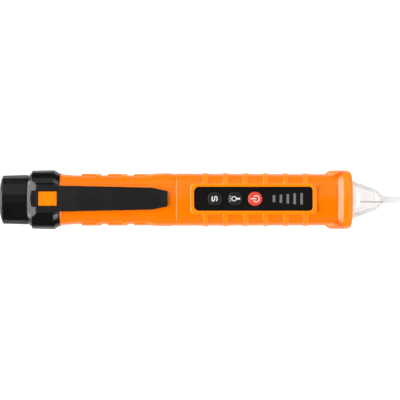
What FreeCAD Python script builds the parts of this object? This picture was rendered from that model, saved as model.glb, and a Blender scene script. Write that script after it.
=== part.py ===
import FreeCAD, Part
import math
import os

from FreeCAD import Vector

# Non contact voltage tester, a pen 160 mm long.
# Frame: +X runs from the tail cap to the probe tip, +Z is up through the control panel.
# Every shape is built about the pen's own axis, and is lifted onto its resting flats when it is saved.

# ---- driving dimensions, millimetres ----
TAIL_END = -80.0
TIP_END = 80.0
AXIS_HEIGHT = 11.0          # pen axis above the resting flats

# battery compartment
CELL_RADIUS = 5.25
CELL_LENGTH = 44.5
CELL_NUB_RADIUS = 1.8
CELL_NUB_LENGTH = 0.8
CELL_AXIS_Z = -2.2
CELL_REAR_X = -71.5

# rear barrel and its threaded neck
NECK_REAR_X = -76.0
NECK_RADIUS = 8.25
NECK_BORE = 7.6
THREAD_CREST = 8.55
THREAD_PITCH = 2.5
THREAD_FIRST_X = -75.4
THREAD_RINGS = 3
SEAT_RADIUS = 9.3           # plain seat that carries the clip collar
SEAT_REAR_X = -68.1
BARREL_REAR_X = -55.75
BARREL_FRONT_X = -9.6
BARREL_BORE = 8.7
BARREL_WAIST = 9.74
SOCKET_RADIUS = 9.65
SOCKET_DEPTH = 7.0
GRIP_PADS = ((-47.4, -39.2), (-37.0, -28.8), (-26.6, -18.6))
GRIP_PAD_RADIUS = 10.38
GRIP_PAD_HALF_HEIGHT = 2.9
GRIP_BLOCK_LENGTH = 2.4
GRIP_BLOCK_HALF_HEIGHT = 4.9

# front housing
SPIGOT_RADIUS = 9.6
SPIGOT_LENGTH = 6.8
HOUSING_REAR_RADIUS = 10.45
HOUSING_FRONT_RADIUS = 10.2
HOUSING_FRONT_X = 54.6
HOUSING_BORE = 8.9
NOSE_NECK_RADIUS = 9.3
NOSE_NECK_BORE = 8.2
NOSE_NECK_FRONT_X = 58.1
RIB_FIRST_X = 2.3
RIB_PITCH = 7.96
RIB_COUNT = 6
RIB_HALF_WIDTH = 0.95
RIB_HEIGHT = 0.3

# control panel and its raised rim
RIM_REAR_X = -3.95
RIM_FRONT_X = 46.3
RIM_HALF_WIDTH = 6.15
RIM_TOP_Z = 10.75
RIM_CORNER = 2.4
PANEL_REAR_X = -2.3
PANEL_FRONT_X = 44.6
PANEL_HALF_WIDTH = 4.7
PANEL_BOTTOM_Z = 9.1
PANEL_TOP_Z = 10.3
PANEL_REAR_CORNER = 2.0
PANEL_FRONT_CORNER = 1.4
PANEL_GAP = 0.05
WINDOW_HALF_WIDTH = 3.7

# push buttons, in the order tail to tip
BUTTONS = (("sensitivity", 5.9, 2.85), ("flashlight", 13.88, 2.85), ("power", 21.78, 2.88))
BUTTON_TOP_Z = 10.75
BUTTON_GAP = 0.1
BUTTON_TRAVEL = 0.5
FLANGE_RADIUS = 3.4
FLANGE_BOTTOM_Z = 8.25
FLANGE_TOP_Z = 9.0
STEM_RADIUS = 1.3
SWITCH_TOP_Z = 6.8
SWITCH_HALF_SIZE = 2.3
PLUNGER_RADIUS = 1.1
PLUNGER_TOP_Z = 7.4
PLUNGER_BOTTOM_Z = 6.2
SYMBOL_HEIGHT = 0.08

# signal level bars
BAR_FIRST_X = 29.3
BAR_PITCH = 2.73
BAR_WIDTH = 1.0
BAR_LENGTHS = (2.8, 3.35, 3.8, 4.3, 4.55)
GUIDE_BASE_Z = 8.2
GUIDE_LEG_Z = 6.2

# circuit board
BOARD_REAR_X = -8.0
BOARD_FRONT_X = 57.5
BOARD_HALF_WIDTH = 6.0
BOARD_BOTTOM_Z = 4.0
BOARD_TOP_Z = 5.0
SCREW_SPOTS = ((27.2, 4.3), (27.2, -4.3), (46.5, 4.3), (46.5, -4.3))
SCREW_SHANK = 0.68
SCREW_HEAD = 1.35
BOSS_RADIUS = 1.7

# cradle under the board
CRADLE_REAR_X = -54.0
CRADLE_BULKHEAD_X = 18.6
CRADLE_BULKHEAD_THICKNESS = 1.5
CRADLE_FRONT_X = 50.0
CRADLE_INSIDE = 5.35
CRADLE_OUTSIDE = 6.1

# nose ring and clear probe tip
RING_REAR_X = 54.7
RING_FRONT_X = 60.7
RING_RADIUS = 11.75
RING_WING_REAR_X = 50.1
RING_WING_BORE = 10.28
RING_WING_HALF_HEIGHT = 3.2
RING_MOUTH = 7.8
TIP_FLANGE_X = 58.5
TIP_FLANGE_RADIUS = 9.2
TIP_ROOT_RADIUS = 7.55
TIP_SHOULDER_X = 70.4
TIP_SHOULDER_RADIUS = 4.1
TIP_CORE_RADIUS = 3.0
BLADE_HALF_THICKNESS = 1.25
BLADE_HALF_HEIGHT = 2.4
ANTENNA_Y = -0.95
ANTENNA_THICKNESS = 0.34
LED_RADIUS = 1.5
LED_OFFSET = 1.75
LED_MOUNT_RADIUS = 3.5
LED_MOUNT_REAR_X = 57.9
LED_MOUNT_FRONT_X = 64.3

# clip collar and clip
COLLAR_REAR_X = -68.5
COLLAR_FRONT_X = -55.8
COLLAR_RADIUS = 11.86
LOBE_REAR_X = -67.15
COLLAR_BORE = 9.35
COLLAR_LAND_Z = 9.95
LUG_REAR_X = -64.1
LUG_FRONT_X = -56.6
LUG_HALF_WIDTH = 2.95
LUG_TOP_Z = 12.0
CLIP_TOP_Z = 12.3
CLIP_ROOT_REAR_X = -64.75
CLIP_ROOT_HALF_WIDTH = 5.15
CLIP_ROOT_FOOT = 5.9
CLIP_JOINT_X = -55.8
CLIP_TIP_X = -12.75
CLIP_ROOT_GAP = 0.12
TONGUE_REAR_X = -67.25
TONGUE_HALF_WIDTH = 3.25

# tail cap
CAP_FACETS = 16
CAP_REAR_APOTHEM = 9.6
CAP_FRONT_APOTHEM = 9.86
CAP_MOUTH_X = -68.6
CAP_BORE = 8.62
CAP_FLOOR_X = -77.0
CAP_SEAL_RADIUS = 9.1
CONTACT_PLATE_RADIUS = 8.4
CONTACT_PLATE_THICKNESS = 0.4
SPRING_WIRE = 0.35
SPRING_TURNS = 4.0

AXIS_POINT = Vector(0, 0, 0)
ALONG = Vector(1, 0, 0)


# ---- drawing helpers ----
def rounded_wire(points, place):
    """Closed wire through (a, b) or (a, b, corner radius) points; place turns (a, b) into a Vector."""
    count = len(points)
    corners = [Vector(p[0], p[1], 0) for p in points]
    arcs = []
    for i in range(count):
        corner = corners[i]
        radius = points[i][2] if len(points[i]) > 2 else 0.0
        if radius == 0.0:
            arcs.append((corner, None, corner))
            continue
        back = (corners[i - 1] - corner).normalize()
        ahead = (corners[(i + 1) % count] - corner).normalize()
        half_angle = back.getAngle(ahead) / 2
        inward = (back + ahead).normalize()
        setback = radius / math.tan(half_angle)
        centre = corner + inward * (radius / math.sin(half_angle))
        arcs.append((corner + back * setback, centre - inward * radius, corner + ahead * setback))
    edges = []
    for i in range(count):
        start, middle, end = arcs[i]
        if middle is not None:
            edges.append(Part.Arc(place(start), place(middle), place(end)).toShape())
        following = arcs[(i + 1) % count][0]
        if end.distanceToPoint(following) > 1e-6:
            edges.append(Part.LineSegment(place(end), place(following)).toShape())
    return Part.Wire(edges)


def turned(points):
    """Solid of revolution about the pen axis; points are (x, radius[, corner radius])."""
    wire = rounded_wire(points, lambda p: Vector(p.x, 0, p.y))
    return Part.Face(wire).revolve(AXIS_POINT, ALONG, 360)


def upright(points, low_z, high_z):
    """Prism with a plan outline of (x, y[, corner radius]) points."""
    wire = rounded_wire(points, lambda p: Vector(p.x, p.y, low_z))
    return Part.Face(wire).extrude(Vector(0, 0, high_z - low_z))


def sideways(points, half_width):
    """Plate with a side outline of (x, z[, corner radius]) points, centred on y = 0."""
    wire = rounded_wire(points, lambda p: Vector(p.x, -half_width, p.y))
    return Part.Face(wire).extrude(Vector(0, 2 * half_width, 0))


def block(x0, x1, y0, y1, z0, z1):
    return Part.makeBox(x1 - x0, y1 - y0, z1 - z0, Vector(x0, y0, z0))


def centred_block(x0, x1, half_width, z0, z1):
    return block(x0, x1, -half_width, half_width, z0, z1)


def rod(x0, x1, radius, y=0.0, z=0.0):
    """Round bar along the pen."""
    return Part.makeCylinder(radius, x1 - x0, Vector(x0, y, z), ALONG)


def post(x, y, z0, z1, radius):
    """Round bar standing upright."""
    return Part.makeCylinder(radius, z1 - z0, Vector(x, y, z0))


def ring(x0, x1, inner, outer):
    return rod(x0, x1, outer).cut(rod(x0 - 1, x1 + 1, inner))


def tablet(x0, x1, half_width, z0, z1, rear_corner, front_corner):
    """Flat block whose plan has rounded corners."""
    outline = [
        (x0, -half_width, rear_corner),
        (x1, -half_width, front_corner),
        (x1, half_width, front_corner),
        (x0, half_width, rear_corner),
    ]
    return upright(outline, z0, z1)


def edges_at_height(shape, z):
    """Edges that lie wholly in the level z."""
    found = []
    for edge in shape.Edges:
        box = edge.BoundBox
        if abs(box.ZMin - z) < 1e-4 and abs(box.ZMax - z) < 1e-4:
            found.append(edge)
    return found


def joined(first, *others):
    return first.fuse(list(others)).removeSplitter()


def group(shapes):
    return Part.makeCompound(shapes)


def save(name, shape):
    """Lift a part onto the resting flats and write it."""
    shape.translate(Vector(0, 0, AXIS_HEIGHT))
    shape.exportStep("parts/" + name + ".step")


# ---- orange shells ----
def grip_pad(rear_x, front_x):
    """One raised grip on both flanks: a long pad, with a taller block at its front end."""
    block_rear_x = front_x - GRIP_BLOCK_LENGTH
    root = BARREL_WAIST - 0.4
    long_pad = turned([
        (rear_x, root),
        (rear_x + 0.2, GRIP_PAD_RADIUS, 0.15),
        (front_x, GRIP_PAD_RADIUS - 0.12, 0.15),
        (front_x, root),
    ])
    end_block = turned([
        (block_rear_x, root),
        (block_rear_x + 0.2, GRIP_PAD_RADIUS - 0.08),
        (front_x, GRIP_PAD_RADIUS - 0.12, 0.15),
        (front_x, root),
    ])
    reach = GRIP_PAD_RADIUS + 1
    long_pad = long_pad.common(
        centred_block(rear_x, front_x, reach, -GRIP_PAD_HALF_HEIGHT, GRIP_PAD_HALF_HEIGHT)
    )
    end_block = end_block.common(
        centred_block(rear_x, front_x, reach, -GRIP_BLOCK_HALF_HEIGHT, GRIP_BLOCK_HALF_HEIGHT)
    )
    return long_pad.fuse(end_block)


def thread_ring(x):
    return turned([
        (x - 0.45, NECK_RADIUS - 0.1),
        (x - 0.12, THREAD_CREST),
        (x + 0.12, THREAD_CREST),
        (x + 0.45, NECK_RADIUS - 0.1),
    ])


def rear_barrel():
    """Battery barrel: threaded neck, collar seat with its lug, waisted grip and front socket."""
    outside = turned([
        (NECK_REAR_X, 0),
        (NECK_REAR_X, NECK_RADIUS, 0.3),
        (SEAT_REAR_X, NECK_RADIUS),
        (SEAT_REAR_X, SEAT_RADIUS),
        (BARREL_REAR_X, SEAT_RADIUS),
        (BARREL_REAR_X, 10.55, 0.15),
        (BARREL_REAR_X + 0.8, 10.15, 1.2),
        (-49.4, BARREL_WAIST, 12),
        (-23.6, BARREL_WAIST, 16),
        (-17.6, 10.55, 14),
        (-12.6, 10.64, 12),
        (BARREL_FRONT_X, 10.32, 0.15),
        (BARREL_FRONT_X, 0),
    ])
    solid = outside
    for rear_x, front_x in GRIP_PADS:
        solid = solid.fuse(grip_pad(rear_x, front_x))
    for i in range(THREAD_RINGS):
        solid = solid.fuse(thread_ring(THREAD_FIRST_X + i * THREAD_PITCH))
    lug = sideways([
        (LUG_REAR_X, 0),
        (LUG_REAR_X, LUG_TOP_Z, 0.5),
        (LUG_FRONT_X, LUG_TOP_Z, 0.5),
        (LUG_FRONT_X, 0),
    ], LUG_HALF_WIDTH)
    bore = turned([
        (NECK_REAR_X - 1, 0),
        (NECK_REAR_X - 1, NECK_BORE),
        (-66.0, NECK_BORE),
        (-65.0, 8.3),
        (-56.0, 8.3),
        (-55.0, BARREL_BORE),
        (BARREL_FRONT_X - SOCKET_DEPTH, BARREL_BORE),
        (BARREL_FRONT_X - SOCKET_DEPTH, SOCKET_RADIUS),
        (BARREL_FRONT_X + 1, SOCKET_RADIUS),
        (BARREL_FRONT_X + 1, 0),
    ])
    return joined(solid, lug).cut(bore)


def housing_radius(x):
    """Outside radius of the front housing, which tapers gently to the nose."""
    share = (x - BARREL_FRONT_X) / (HOUSING_FRONT_X - BARREL_FRONT_X)
    return HOUSING_REAR_RADIUS + share * (HOUSING_FRONT_RADIUS - HOUSING_REAR_RADIUS)


def housing_rib(x):
    crest = housing_radius(x) + RIB_HEIGHT
    foot = RIB_HALF_WIDTH + RIB_HEIGHT
    return turned([
        (x - foot, crest - 2 * RIB_HEIGHT),
        (x - foot, crest - RIB_HEIGHT),
        (x - RIB_HALF_WIDTH, crest),
        (x + RIB_HALF_WIDTH, crest),
        (x + foot, crest - RIB_HEIGHT),
        (x + foot, crest - 2 * RIB_HEIGHT),
    ])


def front_housing():
    """Electronics housing: spigot, ribbed tube, raised panel rim and nose neck."""
    spigot_rear_x = BARREL_FRONT_X - SPIGOT_LENGTH
    solid = turned([
        (spigot_rear_x, 0),
        (spigot_rear_x, SPIGOT_RADIUS, 0.3),
        (-13.6, SPIGOT_RADIUS),
        (-13.6, 9.2),
        (-12.6, 9.2),
        (-12.6, SPIGOT_RADIUS),
        (BARREL_FRONT_X + 0.03, SPIGOT_RADIUS),
        (BARREL_FRONT_X + 0.03, HOUSING_REAR_RADIUS, 0.2),
        (HOUSING_FRONT_X, HOUSING_FRONT_RADIUS),
        (HOUSING_FRONT_X, NOSE_NECK_RADIUS),
        (NOSE_NECK_FRONT_X, NOSE_NECK_RADIUS),
        (NOSE_NECK_FRONT_X, 0),
    ])
    for i in range(RIB_COUNT):
        solid = solid.fuse(housing_rib(RIB_FIRST_X + i * RIB_PITCH))
    rim = tablet(RIM_REAR_X, RIM_FRONT_X, RIM_HALF_WIDTH, 6.0, RIM_TOP_Z, RIM_CORNER, RIM_CORNER)
    rim = rim.makeFillet(0.4, edges_at_height(rim, RIM_TOP_Z))
    solid = joined(solid, rim)
    bore = turned([
        (spigot_rear_x - 1, 0),
        (spigot_rear_x - 1, BARREL_BORE),
        (-9.0, BARREL_BORE),
        (-8.0, HOUSING_BORE),
        (HOUSING_FRONT_X - 1, HOUSING_BORE),
        (HOUSING_FRONT_X, NOSE_NECK_BORE),
        (NOSE_NECK_FRONT_X + 1, NOSE_NECK_BORE),
        (NOSE_NECK_FRONT_X + 1, 0),
    ])
    recess = tablet(
        PANEL_REAR_X - PANEL_GAP, PANEL_FRONT_X + PANEL_GAP, PANEL_HALF_WIDTH + PANEL_GAP,
        PANEL_BOTTOM_Z, RIM_TOP_Z + 1, PANEL_REAR_CORNER, PANEL_FRONT_CORNER,
    )
    window = centred_block(1.3, 43.8, WINDOW_HALF_WIDTH, 5.0, PANEL_BOTTOM_Z + 0.5)
    return solid.cut([bore, recess, window])


def nose_ring():
    """Screwed ring that clamps the clear tip, with two side wings over the housing."""
    band = turned([
        (RING_REAR_X, HOUSING_FRONT_RADIUS),
        (56.9, RING_RADIUS, 0.4),
        (60.45, RING_RADIUS - 0.1, 2.1),
        (RING_FRONT_X, RING_MOUTH),
        (RING_FRONT_X, 0),
        (RING_REAR_X, 0),
    ])
    wings = turned([
        (RING_WING_REAR_X, 0),
        (RING_WING_REAR_X, RING_WING_BORE + 0.05),
        (51.1, 11.3, 0.6),
        (53.6, RING_RADIUS - 0.05, 2),
        (57.5, RING_RADIUS),
        (57.5, 0),
    ])
    reach = RING_RADIUS + 1
    wings = wings.common(
        centred_block(RING_WING_REAR_X, 57.5, reach, -RING_WING_HALF_HEIGHT, RING_WING_HALF_HEIGHT)
    )
    bore = turned([
        (RING_WING_REAR_X - 1, 0),
        (RING_WING_REAR_X - 1, RING_WING_BORE),
        (HOUSING_FRONT_X + 0.05, RING_WING_BORE),
        (HOUSING_FRONT_X + 0.05, SEAT_RADIUS + 0.05),
        (59.6, SEAT_RADIUS + 0.05),
        (59.6, RING_MOUTH),
        (RING_FRONT_X + 1, RING_MOUTH),
        (RING_FRONT_X + 1, 0),
    ])
    below_flat = centred_block(40, 70, 20, -20, -AXIS_HEIGHT)
    return joined(band, wings).cut([bore, below_flat])


# ---- clear tip and what shines through it ----
def probe_blade():
    """Thin upright blade that reaches into a socket's slot."""
    side = sideways([
        (66.0, -BLADE_HALF_HEIGHT),
        (72.5, -BLADE_HALF_HEIGHT),
        (TIP_END, -BLADE_HALF_HEIGHT + 0.4, 1.4),
        (TIP_END, BLADE_HALF_HEIGHT - 0.4, 1.4),
        (72.5, BLADE_HALF_HEIGHT),
        (66.0, BLADE_HALF_HEIGHT),
    ], 3)
    plan = upright([
        (66.0, -1.5),
        (73.0, -1.5, 6),
        (76.0, -BLADE_HALF_THICKNESS, 6),
        (TIP_END, -BLADE_HALF_THICKNESS + 0.05, 1.1),
        (TIP_END, BLADE_HALF_THICKNESS - 0.05, 1.1),
        (76.0, BLADE_HALF_THICKNESS, 6),
        (73.0, 1.5, 6),
        (66.0, 1.5),
    ], -4, 4)
    return side.common(plan)


def probe_tip():
    """Clear hollow cone with a clamping flange and a solid blade."""
    cone = turned([
        (TIP_FLANGE_X, 0),
        (TIP_FLANGE_X, TIP_FLANGE_RADIUS),
        (TIP_FLANGE_X + 1, TIP_FLANGE_RADIUS),
        (TIP_FLANGE_X + 1, TIP_ROOT_RADIUS),
        (60.9, TIP_ROOT_RADIUS, 0.5),
        (TIP_SHOULDER_X, TIP_SHOULDER_RADIUS, 0.5),
        (72.0, 1.9, 1.6),
        (74.6, 1.2),
        (74.6, 0),
    ])
    cavity = turned([
        (TIP_FLANGE_X - 1, 0),
        (TIP_FLANGE_X - 1, 6.5),
        (60.9, 6.4),
        (64.4, 5.05, 0.4),
        (64.9, TIP_CORE_RADIUS),
        (70.0, TIP_CORE_RADIUS, 0.4),
        (70.0, 0),
    ])
    slot = block(69.0, 73.1, ANTENNA_Y - 0.22, ANTENNA_Y + 0.22, -0.7, 1.65)
    return joined(cone, probe_blade()).cut([cavity, slot])


def nose_gasket():
    return ring(NOSE_NECK_FRONT_X + 0.05, TIP_FLANGE_X - 0.05, 8.3, TIP_FLANGE_RADIUS)


def led_mount():
    """Round cup that holds the two lamps in the tip, with a shelf under the board."""
    cup = rod(LED_MOUNT_REAR_X, LED_MOUNT_FRONT_X, LED_MOUNT_RADIUS)
    shelf = centred_block(53.2, 58.3, 3.0, 2.6, BOARD_BOTTOM_Z)
    web = centred_block(56.9, 58.3, 3.0, -3.0, BOARD_BOTTOM_Z)
    hollow = rod(LED_MOUNT_FRONT_X - 2, LED_MOUNT_FRONT_X + 1, 3.2)
    sockets = [rod(50, 70, LED_RADIUS + 0.03, side * LED_OFFSET) for side in (-1, 1)]
    antenna_slot = block(50, 70, ANTENNA_Y - 0.22, ANTENNA_Y + 0.22, 1.4, 2.5)
    return joined(cup, shelf, web).cut([hollow, antenna_slot] + sockets)


def lamp(side):
    """Three millimetre lamp with a domed front and two leads."""
    y = side * LED_OFFSET
    dome_x = 62.6
    body = rod(60.1, dome_x, LED_RADIUS, y)
    dome = Part.makeSphere(LED_RADIUS, Vector(dome_x, y, 0))
    leads = [rod(55.7, 60.2, 0.25, y, z) for z in (-0.64, 0.64)]
    return joined(body, dome, *leads)


def sense_antenna():
    """Metal strip from the board to the blade of the tip."""
    low_y = ANTENNA_Y - ANTENNA_THICKNESS / 2
    high_y = ANTENNA_Y + ANTENNA_THICKNESS / 2
    leg = block(51.6, 52.6, low_y, high_y, 1.5, BOARD_BOTTOM_Z)
    strip = block(51.6, 69.6, low_y, high_y, 1.5, 2.4)
    end = block(68.6, 73.0, low_y, high_y, -0.6, 1.55)
    return joined(leg, strip, end)


# ---- control panel ----
def bar_x(index):
    return BAR_FIRST_X + index * BAR_PITCH


def control_panel():
    """Black plate with three button holes and five slots for the level bars."""
    plate = tablet(
        PANEL_REAR_X, PANEL_FRONT_X, PANEL_HALF_WIDTH,
        PANEL_BOTTOM_Z, PANEL_TOP_Z, PANEL_REAR_CORNER, PANEL_FRONT_CORNER,
    )
    cuts = [post(x, 0, PANEL_BOTTOM_Z - 1, PANEL_TOP_Z + 1, radius + BUTTON_GAP) for _, x, radius in BUTTONS]
    for index, length in enumerate(BAR_LENGTHS):
        half = BAR_WIDTH / 2 + 0.04
        cuts.append(centred_block(
            bar_x(index) - half, bar_x(index) + half, length / 2 + 0.04, PANEL_BOTTOM_Z - 1, PANEL_TOP_Z + 1
        ))
    return plate.cut(cuts)


def level_light_guide():
    """Translucent comb: a base, five bars up through the panel and five legs over the lamps."""
    pieces = []
    for index, length in enumerate(BAR_LENGTHS):
        half = BAR_WIDTH / 2
        x = bar_x(index)
        pieces.append(centred_block(x - half, x + half, length / 2, GUIDE_BASE_Z, PANEL_TOP_Z + 0.04))
        pieces.append(centred_block(x - 0.45, x + 0.45, 1.2, GUIDE_LEG_Z, GUIDE_BASE_Z + 0.1))
    base = centred_block(28.2, 42.0, 3.3, GUIDE_BASE_Z, PANEL_BOTTOM_Z - 0.05)
    return joined(base, *pieces)


def push_button(x, radius):
    """Button cap with a retaining flange and a stem that reaches its switch."""
    cap = post(x, 0, FLANGE_TOP_Z, BUTTON_TOP_Z, radius)
    cap = cap.makeFillet(0.25, edges_at_height(cap, BUTTON_TOP_Z))
    flange = post(x, 0, FLANGE_BOTTOM_Z, FLANGE_TOP_Z, FLANGE_RADIUS)
    stem = post(x, 0, PLUNGER_TOP_Z, FLANGE_BOTTOM_Z, STEM_RADIUS)
    return joined(cap, flange, stem)


def switch_plunger(x):
    return post(x, 0, PLUNGER_BOTTOM_Z, PLUNGER_TOP_Z, PLUNGER_RADIUS)


def arc_stroke(x, y, radius, width, start, end):
    """Flat stroke along part of a circle, angles in degrees from +X towards +Y."""
    inner = radius - width / 2
    outer = radius + width / 2

    def at(distance, degrees):
        angle = math.radians(degrees)
        return Vector(x + distance * math.cos(angle), y + distance * math.sin(angle), BUTTON_TOP_Z)

    middle = (start + end) / 2
    wire = Part.Wire([
        Part.Arc(at(outer, start), at(outer, middle), at(outer, end)).toShape(),
        Part.LineSegment(at(outer, end), at(inner, end)).toShape(),
        Part.Arc(at(inner, end), at(inner, middle), at(inner, start)).toShape(),
        Part.LineSegment(at(inner, start), at(outer, start)).toShape(),
    ])
    return Part.Face(wire).extrude(Vector(0, 0, SYMBOL_HEIGHT))


def flat_mark(points):
    return upright(points, BUTTON_TOP_Z, BUTTON_TOP_Z + SYMBOL_HEIGHT)


def sensitivity_symbol(x):
    """Double bend made of two opposed arcs."""
    bend = 0.68
    front = arc_stroke(x + bend, 0, bend, 0.5, -60, 180)
    rear = arc_stroke(x - bend, 0, bend, 0.5, 120, 360)
    return joined(front, rear)


def flashlight_symbol(x):
    """Torch lying along the pen: handle, hollow head and three rays."""
    handle = flat_mark([(x + 0.45, -0.5), (x + 2.05, -0.5, 0.2), (x + 2.05, 0.5, 0.2), (x + 0.45, 0.5)])
    head = arc_stroke(x - 0.4, 0, 0.72, 0.36, 20, 340)
    rays = []
    for y in (-1.0, 0.0, 1.0):
        rays.append(flat_mark([
            (x - 2.3, 1.25 * y - 0.14), (x - 1.5, y - 0.14), (x - 1.5, y + 0.14), (x - 2.3, 1.25 * y + 0.14),
        ]))
    return group([handle, head] + rays)


def power_symbol(x):
    """Broken ring with a bar through the gap, which faces the tail."""
    circle = arc_stroke(x + 0.2, 0, 1.4, 0.48, -145, 145)
    bar = flat_mark([(x - 2.0, -0.24), (x - 0.1, -0.24), (x - 0.1, 0.24), (x - 2.0, 0.24)])
    return group([circle, bar])


# ---- board, switches and small electronics ----
def main_board():
    board = centred_block(BOARD_REAR_X, BOARD_FRONT_X, BOARD_HALF_WIDTH, BOARD_BOTTOM_Z, BOARD_TOP_Z)
    holes = [post(x, y, 3, 6, SCREW_SHANK + 0.12) for x, y in SCREW_SPOTS]
    return board.cut(holes)


def board_screws():
    screws = []
    for x, y in SCREW_SPOTS:
        head = post(x, y, BOARD_TOP_Z, BOARD_TOP_Z + 0.9, SCREW_HEAD)
        shank = post(x, y, 1.2, BOARD_TOP_Z, SCREW_SHANK)
        recess = block(x - 0.9, x + 0.9, y - 0.15, y + 0.15, BOARD_TOP_Z + 0.5, BOARD_TOP_Z + 1)
        screws.append(joined(head, shank).cut(recess))
    return group(screws)


def tact_switches():
    switches = []
    for _, x, _ in BUTTONS:
        body = centred_block(
            x - SWITCH_HALF_SIZE, x + SWITCH_HALF_SIZE, SWITCH_HALF_SIZE, BOARD_TOP_Z, SWITCH_TOP_Z
        )
        well = post(x, 0, PLUNGER_BOTTOM_Z - BUTTON_TRAVEL - 0.1, SWITCH_TOP_Z + 1, PLUNGER_RADIUS + 0.08)
        switches.append(body.cut(well))
    return group(switches)


def level_leds():
    return group([
        centred_block(bar_x(i) - 0.4, bar_x(i) + 0.4, 0.8, BOARD_TOP_Z, BOARD_TOP_Z + 0.7)
        for i in range(len(BAR_LENGTHS))
    ])


def control_chip():
    """Control chip under the board, with its two rows of legs."""
    body = centred_block(22.6, 29.6, 1.7, 2.4, 3.8)
    legs = []
    for i in range(5):
        x = 23.6 + i * 1.27
        legs.append(centred_block(x - 0.2, x + 0.2, 2.5, 3.7, BOARD_BOTTOM_Z))
    return joined(body, *legs)


def small_components():
    """Chip resistors and capacitors in two rows on the board."""
    row = []
    for side in (-1, 1):
        for i in range(6):
            x = 31.0 + i * 2.3
            y = side * 4.6
            row.append(block(x - 0.8, x + 0.8, y - 0.4, y + 0.4, BOARD_TOP_Z, BOARD_TOP_Z + 0.55))
    return group(row)


def buzzer():
    can = post(38.0, 0, 0.4, BOARD_BOTTOM_Z, 4.2)
    return can.cut(post(38.0, 0, -1, 0.9, 0.9))


# ---- battery compartment ----
def battery_cradle():
    """Long tray for the cells that also carries the board on its side walls."""
    wall_top = BOARD_BOTTOM_Z
    trough = rod(CRADLE_REAR_X, CRADLE_BULKHEAD_X, CRADLE_OUTSIDE, 0, CELL_AXIS_Z)
    trough = trough.fuse(
        centred_block(CRADLE_REAR_X, CRADLE_BULKHEAD_X, CRADLE_OUTSIDE, CELL_AXIS_Z, wall_top)
    )
    hollow = rod(CRADLE_REAR_X - 1, CRADLE_BULKHEAD_X, CRADLE_INSIDE, 0, CELL_AXIS_Z)
    hollow = hollow.fuse(
        centred_block(CRADLE_REAR_X - 1, CRADLE_BULKHEAD_X, CRADLE_INSIDE, CELL_AXIS_Z, wall_top + 1)
    )
    trough = trough.cut(hollow)
    bulkhead_front_x = CRADLE_BULKHEAD_X + CRADLE_BULKHEAD_THICKNESS
    bulkhead = rod(CRADLE_BULKHEAD_X, bulkhead_front_x, CRADLE_OUTSIDE, 0, CELL_AXIS_Z)
    bulkhead = bulkhead.fuse(
        centred_block(CRADLE_BULKHEAD_X, bulkhead_front_x, CRADLE_OUTSIDE, CELL_AXIS_Z, wall_top)
    )
    rails = []
    for side in (-1, 1):
        near = min(side * 4.5, side * CRADLE_OUTSIDE)
        far = near + CRADLE_OUTSIDE - 4.5
        rails.append(block(bulkhead_front_x, CRADLE_FRONT_X, near, far, 2.4, wall_top))
    rails.append(centred_block(CRADLE_FRONT_X - 1.5, CRADLE_FRONT_X, CRADLE_OUTSIDE, 2.4, wall_top))
    bosses = [post(x, y, 0.6, wall_top, BOSS_RADIUS) for x, y in SCREW_SPOTS]
    holes = [post(x, y, 0, wall_top + 1, SCREW_SHANK + 0.02) for x, y in SCREW_SPOTS]
    return joined(trough, bulkhead, *rails, *bosses).cut(holes)


def battery_cell(rear_x):
    """One AAA cell with its contact nub towards the tip."""
    can = rod(rear_x, rear_x + CELL_LENGTH - CELL_NUB_LENGTH, CELL_RADIUS, 0, CELL_AXIS_Z)
    rims = [e for e in can.Edges if e.BoundBox.XLength < 1e-4]
    can = can.makeFillet(0.4, rims)
    front_x = rear_x + CELL_LENGTH
    nub = rod(front_x - CELL_NUB_LENGTH - 0.2, front_x, CELL_NUB_RADIUS, 0, CELL_AXIS_Z)
    return joined(can, nub)


def positive_contact():
    """Plate on the cradle's bulkhead, with a dimple for the front cell."""
    plate = centred_block(18.25, CRADLE_BULKHEAD_X, 3.0, -5.2, BOARD_BOTTOM_Z)
    dimple = rod(17.6, 18.3, 1.3, 0, CELL_AXIS_Z)
    return joined(plate, dimple)


def negative_strip():
    """Strip above the cells, from the tail cap's contact plate to the board."""
    strip = centred_block(-76.45, -6.6, 1.8, 6.95, 7.2)
    leg = centred_block(-6.85, -6.6, 1.8, BOARD_TOP_Z, 7.2)
    foot = centred_block(-6.85, -4.2, 1.8, BOARD_TOP_Z, BOARD_TOP_Z + 0.25)
    return joined(strip, leg, foot)


def barrel_o_ring():
    return turned([(-13.5, 9.22, 0.1), (-13.5, 9.63, 0.15), (-12.7, 9.63, 0.15), (-12.7, 9.22, 0.1)])


def cap_o_ring():
    rear_x = CAP_MOUTH_X - 1.2
    front_x = CAP_MOUTH_X - 0.4
    inner = NECK_RADIUS + 0.02
    return turned([(rear_x, inner, 0.2), (rear_x, 8.98, 0.3), (front_x, 8.98, 0.3), (front_x, inner, 0.2)])


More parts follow.
